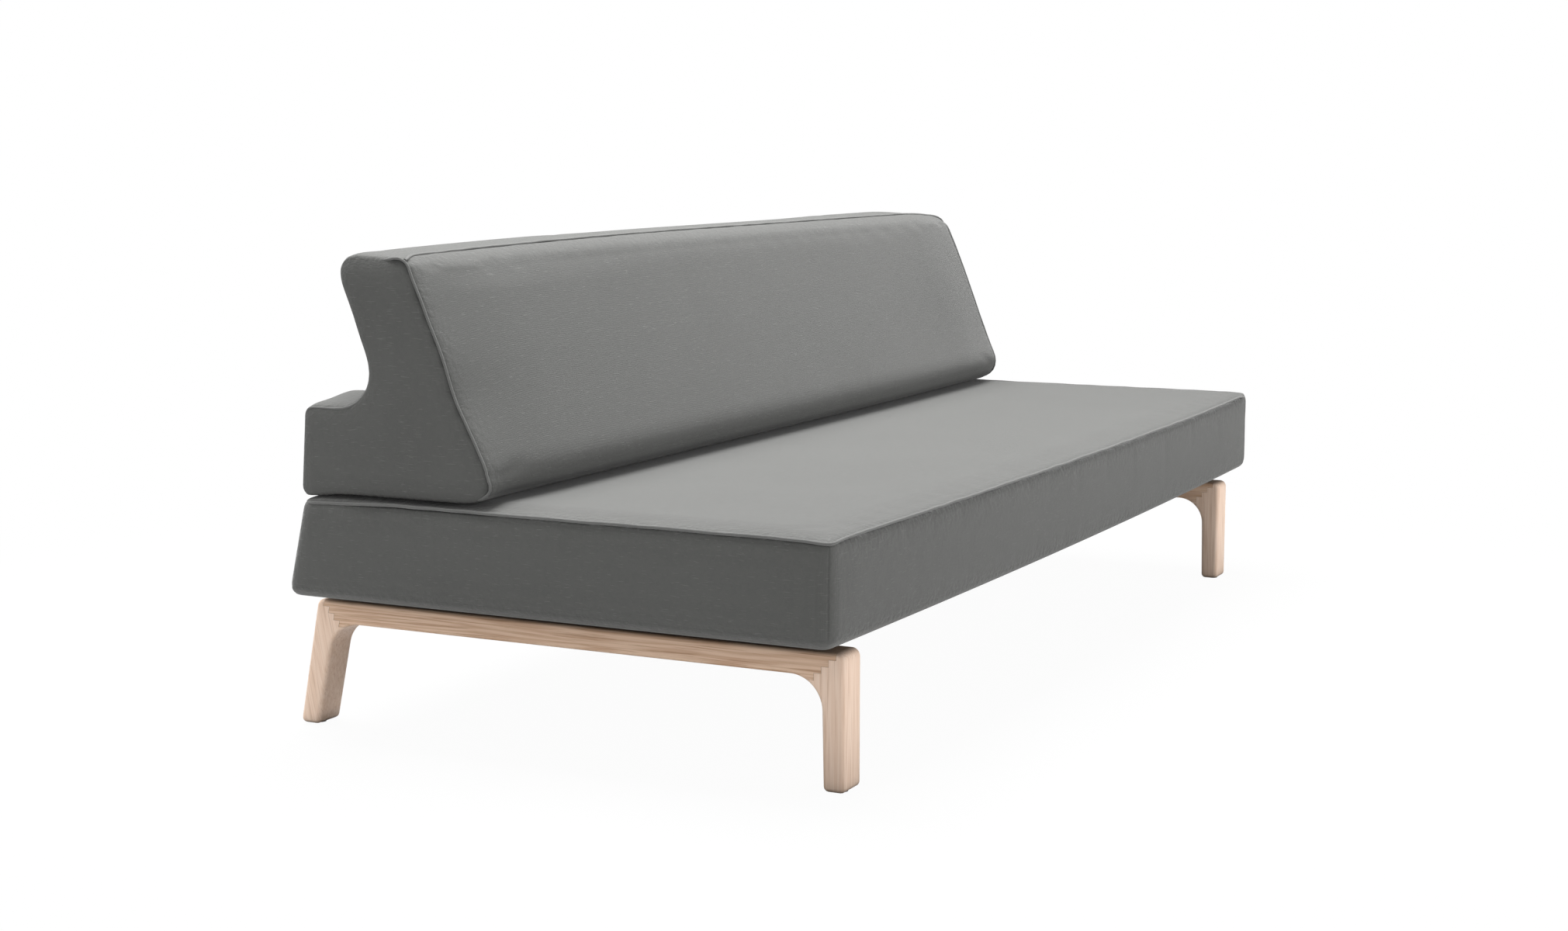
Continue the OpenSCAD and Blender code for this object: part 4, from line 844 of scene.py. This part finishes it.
def wood_material(name, light, dark, turn=(0.0, 0.0, 0.0), pores=1.0, figured=0.24):
    """Straight-grained timber whose grain runs along the piece's own Z before the turn."""
    material = bpy.data.materials.new(name)
    material.use_nodes = True
    nodes, links = material.node_tree.nodes, material.node_tree.links
    bsdf = nodes["Principled BSDF"]
    place = nodes.new("ShaderNodeTexCoord")
    turned = nodes.new("ShaderNodeMapping")
    turned.inputs["Rotation"].default_value = turn
    links.new(place.outputs["Object"], turned.inputs["Vector"])

    def scaled(across, along):
        mapping = nodes.new("ShaderNodeMapping")
        mapping.inputs["Scale"].default_value = (across, across, along)
        links.new(turned.outputs[0], mapping.inputs["Vector"])
        return mapping.outputs[0]

    figure = nodes.new("ShaderNodeTexNoise")
    figure.inputs["Scale"].default_value = 1.0
    figure.inputs["Detail"].default_value = 2.0
    links.new(scaled(52.0, 2.2), figure.inputs["Vector"])
    rings = nodes.new("ShaderNodeMath")
    rings.operation = "SINE"
    spread_rings = nodes.new("ShaderNodeMath")
    spread_rings.operation = "MULTIPLY"
    spread_rings.inputs[1].default_value = 46.0
    links.new(figure.outputs["Fac"], spread_rings.inputs[0])
    links.new(spread_rings.outputs[0], rings.inputs[0])
    fibre = nodes.new("ShaderNodeTexNoise")
    fibre.inputs["Scale"].default_value = 1.0
    fibre.inputs["Detail"].default_value = 3.0
    fibre.inputs["Roughness"].default_value = 0.6
    links.new(scaled(460.0, 11.0), fibre.inputs["Vector"])
    pore = nodes.new("ShaderNodeMapRange")
    pore.inputs["From Min"].default_value = 0.56
    pore.inputs["From Max"].default_value = 0.66
    links.new(fibre.outputs["Fac"], pore.inputs["Value"])
    shade = nodes.new("ShaderNodeMath")
    shade.operation = "MULTIPLY_ADD"
    shade.inputs[1].default_value = figured
    links.new(rings.outputs[0], shade.inputs[0])
    links.new(fibre.outputs["Fac"], shade.inputs[2])
    ramp = nodes.new("ShaderNodeValToRGB")
    ramp.color_ramp.elements[0].position = 0.25
    ramp.color_ramp.elements[0].color = (*light, 1.0)
    ramp.color_ramp.elements[1].position = 0.85
    ramp.color_ramp.elements[1].color = (*dark, 1.0)
    links.new(shade.outputs[0], ramp.inputs[0])
    dotted = nodes.new("ShaderNodeMix")
    dotted.data_type = "RGBA"
    dotted.blend_type = "MULTIPLY"
    dotted.inputs[7].default_value = (0.72, 0.66, 0.60, 1.0)
    strength = nodes.new("ShaderNodeMath")
    strength.operation = "MULTIPLY"
    strength.inputs[1].default_value = 0.8 * pores
    links.new(pore.outputs[0], strength.inputs[0])
    links.new(strength.outputs[0], dotted.inputs["Factor"])
    links.new(ramp.outputs[0], dotted.inputs[6])
    # Painted shade: wood that hardly sees light, as under the seat, is darkened to brown in its base colour
    covered = nodes.new("ShaderNodeAmbientOcclusion")
    covered.samples = 8
    covered.inputs["Distance"].default_value = 0.04
    painted_gap_shade = nodes.new("ShaderNodeMapRange")
    painted_gap_shade.inputs["From Min"].default_value = 0.12
    painted_gap_shade.inputs["From Max"].default_value = 0.75
    painted_gap_shade.inputs["To Min"].default_value = 0.35
    links.new(covered.outputs["AO"], painted_gap_shade.inputs["Value"])
    gap_shaded_color = nodes.new("ShaderNodeVectorMath")
    gap_shaded_color.operation = "SCALE"
    links.new(dotted.outputs[2], gap_shaded_color.inputs[0])
    links.new(painted_gap_shade.outputs[0], gap_shaded_color.inputs["Scale"])
    links.new(gap_shaded_color.outputs[0], bsdf.inputs["Base Color"])
    bump = nodes.new("ShaderNodeBump")
    bump.inputs["Strength"].default_value = 0.2
    bump.inputs["Distance"].default_value = 0.0003
    bump.invert = True
    links.new(pore.outputs[0], bump.inputs["Height"])
    links.new(bump.outputs[0], bsdf.inputs["Normal"])
    rough = nodes.new("ShaderNodeMapRange")
    rough.inputs["To Min"].default_value = 0.42
    rough.inputs["To Max"].default_value = 0.62
    links.new(fibre.outputs["Fac"], rough.inputs["Value"])
    links.new(rough.outputs[0], bsdf.inputs["Roughness"])
    bsdf.inputs["Specular IOR Level"].default_value = 0.35
    return material


ash_light, ash_dark = (0.87, 0.676, 0.545), (0.77, 0.552, 0.413)
# The rail's ash is a darker copy of the legs' ash: painted shade for the seat that overhangs it.
shaded_ash_rail = wood_material("shaded_ash_rail", (0.74, 0.530, 0.385), (0.57, 0.360, 0.235),
                         turn=(math.radians(90.0), 0.0, 0.0))
ash_leg = wood_material("ash_leg", ash_light, ash_dark, pores=0.5, figured=0.15)
ash_rear_leg = wood_material("ash_rear_leg", ash_light, ash_dark, turn=(rear_splay, 0.0, 0.0), pores=0.5,
                             figured=0.15)
glue_gap = 0.00015
for side, x0 in (("left", -frame_inner_x - rail_w), ("right", frame_inner_x)):
    rail = cut_piece(side + "_ash_rail", frame_blank(x0),
                     [(stepped_cutter(False, glue_gap), "DIFFERENCE"),
                      (stepped_cutter(True, glue_gap), "DIFFERENCE"),
                      (bolt_drills(x0), "DIFFERENCE")])
    rail.data.materials.clear()
    rail.data.materials.append(shaded_ash_rail)
    front = cut_piece(side + "_ash_front_leg", frame_blank(x0),
                      [(stepped_cutter(False, -glue_gap), "INTERSECT")])
    front.data.materials.clear()
    front.data.materials.append(ash_leg)
    rear = cut_piece(side + "_ash_rear_leg", frame_blank(x0),
                     [(stepped_cutter(True, -glue_gap), "INTERSECT")])
    rear.data.materials.clear()
    rear.data.materials.append(ash_rear_leg)
    for piece, node in ((rail, "_rail"), (front, "_front_leg"), (rear, "_rear_leg")):
        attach(piece, "sofa_base")
        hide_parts(side + node)

# Timber inside the seat: planed pine beams and bearers screwed together, with bent birch slats let
# into the long beams, and birch plywood boards inside the back cushion.
pine = wood_material("pine", (0.72, 0.55, 0.34), (0.56, 0.36, 0.17), turn=(0.0, math.radians(90.0), 0.0),
                     pores=0.2)
birch = wood_material("birch", (0.70, 0.54, 0.36), (0.60, 0.43, 0.26),
                      turn=(math.radians(90.0), 0.0, 0.0), pores=0.3)
plywood = wood_material("plywood", (0.66, 0.49, 0.31), (0.54, 0.38, 0.22),
                        turn=(0.0, math.radians(90.0), 0.0), pores=0.4)
for name in ("front_beam", "rear_beam", "left_end_beam", "right_end_beam", "left_bearer",
             "right_bearer", "middle_bearer", "corner_blocks"):
    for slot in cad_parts[name].material_slots:
        slot.material = pine
for i in range(1, 14):
    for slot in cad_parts[f"slat_{i}"].material_slots:
        slot.material = birch
for name in ("back_base_board", "back_upright_board", "back_ribs"):
    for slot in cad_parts[name].material_slots:
        slot.material = plywood


# Fixings. Zinc-plated bolts, washers, tee nuts and screws hold frame and seat together; turned
# black plastic spacers keep the seat off the rails, and grey nylon glides are nailed to the feet.
def plain_material(name, color, rough, metallic, grain):
    material = bpy.data.materials.new(name)
    material.use_nodes = True
    nodes, links = material.node_tree.nodes, material.node_tree.links
    bsdf = nodes["Principled BSDF"]
    place = nodes.new("ShaderNodeTexCoord")
    speck = nodes.new("ShaderNodeTexNoise")
    speck.inputs["Scale"].default_value = grain
    speck.inputs["Detail"].default_value = 3.0
    links.new(place.outputs["Object"], speck.inputs["Vector"])
    ramp = nodes.new("ShaderNodeValToRGB")
    ramp.color_ramp.elements[0].color = (*[c * 0.85 for c in color], 1.0)
    ramp.color_ramp.elements[1].color = (*[min(1.0, c * 1.15) for c in color], 1.0)
    links.new(speck.outputs["Fac"], ramp.inputs[0])
    links.new(ramp.outputs[0], bsdf.inputs["Base Color"])
    roughness = nodes.new("ShaderNodeMapRange")
    roughness.inputs["To Min"].default_value = rough - 0.08
    roughness.inputs["To Max"].default_value = rough + 0.08
    links.new(speck.outputs["Fac"], roughness.inputs["Value"])
    links.new(roughness.outputs[0], bsdf.inputs["Roughness"])
    bsdf.inputs["Metallic"].default_value = metallic
    return material


zinc = plain_material("zinc", (0.60, 0.61, 0.62), 0.35, 1.0, 400.0)
black_plastic = plain_material("black_plastic", (0.020, 0.020, 0.021), 0.55, 0.0, 900.0)
grey_nylon = plain_material("grey_nylon", (0.20, 0.20, 0.20), 0.5, 0.0, 700.0)
for name in ("rail_bolts", "bolt_washers", "tee_nuts", "frame_screws", "back_screws"):
    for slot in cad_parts[name].material_slots:
        slot.material = zinc
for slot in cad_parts["seat_spacers"].material_slots:
    slot.material = black_plastic
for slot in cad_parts["foot_glides"].material_slots:
    slot.material = grey_nylon

# Floor and light. A plain white floor runs into a white background. Broad soft lamps stand above,
# a little behind, in front and at the left, so the top is light and the left end darkest.
bm = bmesh.new()
bmesh.ops.create_grid(bm, x_segments=1, y_segments=1, size=30.0)
floor = new_piece("floor", bm)
white = bpy.data.materials.new("white_floor")
white.use_nodes = True
nodes, links = white.node_tree.nodes, white.node_tree.links
diffuse = nodes["Principled BSDF"]
diffuse.inputs["Base Color"].default_value = (0.55, 0.55, 0.55, 1.0)
diffuse.inputs["Roughness"].default_value = 0.9
diffuse.inputs["Specular IOR Level"].default_value = 0.0
glow = nodes.new("ShaderNodeEmission")
glow.inputs["Color"].default_value = (1.0, 1.0, 1.0, 1.0)
path = nodes.new("ShaderNodeLightPath")
# The floor keeps a faint shadow under the sofa and runs out to plain white around it
where = nodes.new("ShaderNodeTexCoord")
reach = nodes.new("ShaderNodeVectorMath")
reach.operation = "LENGTH"
links.new(where.outputs["Object"], reach.inputs[0])
plain = nodes.new("ShaderNodeMapRange")
plain.interpolation_type = "SMOOTHSTEP"
plain.inputs["From Min"].default_value = 0.9
plain.inputs["From Max"].default_value = 2.2
plain.inputs["To Min"].default_value = 0.965
links.new(reach.outputs["Value"], plain.inputs["Value"])
seen = nodes.new("ShaderNodeMath")
seen.operation = "MULTIPLY"
links.new(path.outputs["Is Camera Ray"], seen.inputs[0])
links.new(plain.outputs[0], seen.inputs[1])
blend = nodes.new("ShaderNodeMixShader")
links.new(seen.outputs[0], blend.inputs["Fac"])
links.new(diffuse.outputs[0], blend.inputs[1])
links.new(glow.outputs[0], blend.inputs[2])
links.new(blend.outputs[0], nodes["Material Output"].inputs["Surface"])
floor.data.materials.append(white)

world = bpy.data.worlds.new("studio")
scene.world = world
world.use_nodes = True
nodes, links = world.node_tree.nodes, world.node_tree.links
sky = nodes["Background"]
sky.inputs["Color"].default_value = (1.0, 1.0, 1.0, 1.0)
path = nodes.new("ShaderNodeLightPath")
strength = nodes.new("ShaderNodeMapRange")
strength.inputs["To Min"].default_value = 0.41
strength.inputs["To Max"].default_value = 1.0
links.new(path.outputs["Is Camera Ray"], strength.inputs["Value"])
links.new(strength.outputs[0], sky.inputs["Strength"])

for name, place, aim, size, power in (
    ("top_lamp", (0.1, 0.85, 4.4), (0.0, 0.25, 0.3), 3.2, 482.0),
    ("front_lamp", (0.6, -4.2, 1.5), (0.2, 0.0, 0.3), 2.6, 76.0),
    ("left_lamp", (-4.5, 0.6, 1.6), (0.0, 0.0, 0.3), 2.4, 20.0),
):
    lamp = bpy.data.lights.new(name, "AREA")
    lamp.shape = "SQUARE"
    lamp.size = size
    lamp.energy = power
    thing = bpy.data.objects.new(name, lamp)
    scene.collection.objects.link(thing)
    thing.location = place
    thing.rotation_euler = (Vector(aim) - Vector(place)).to_track_quat("-Z", "Y").to_euler()

scene.view_settings.view_transform = "Standard"
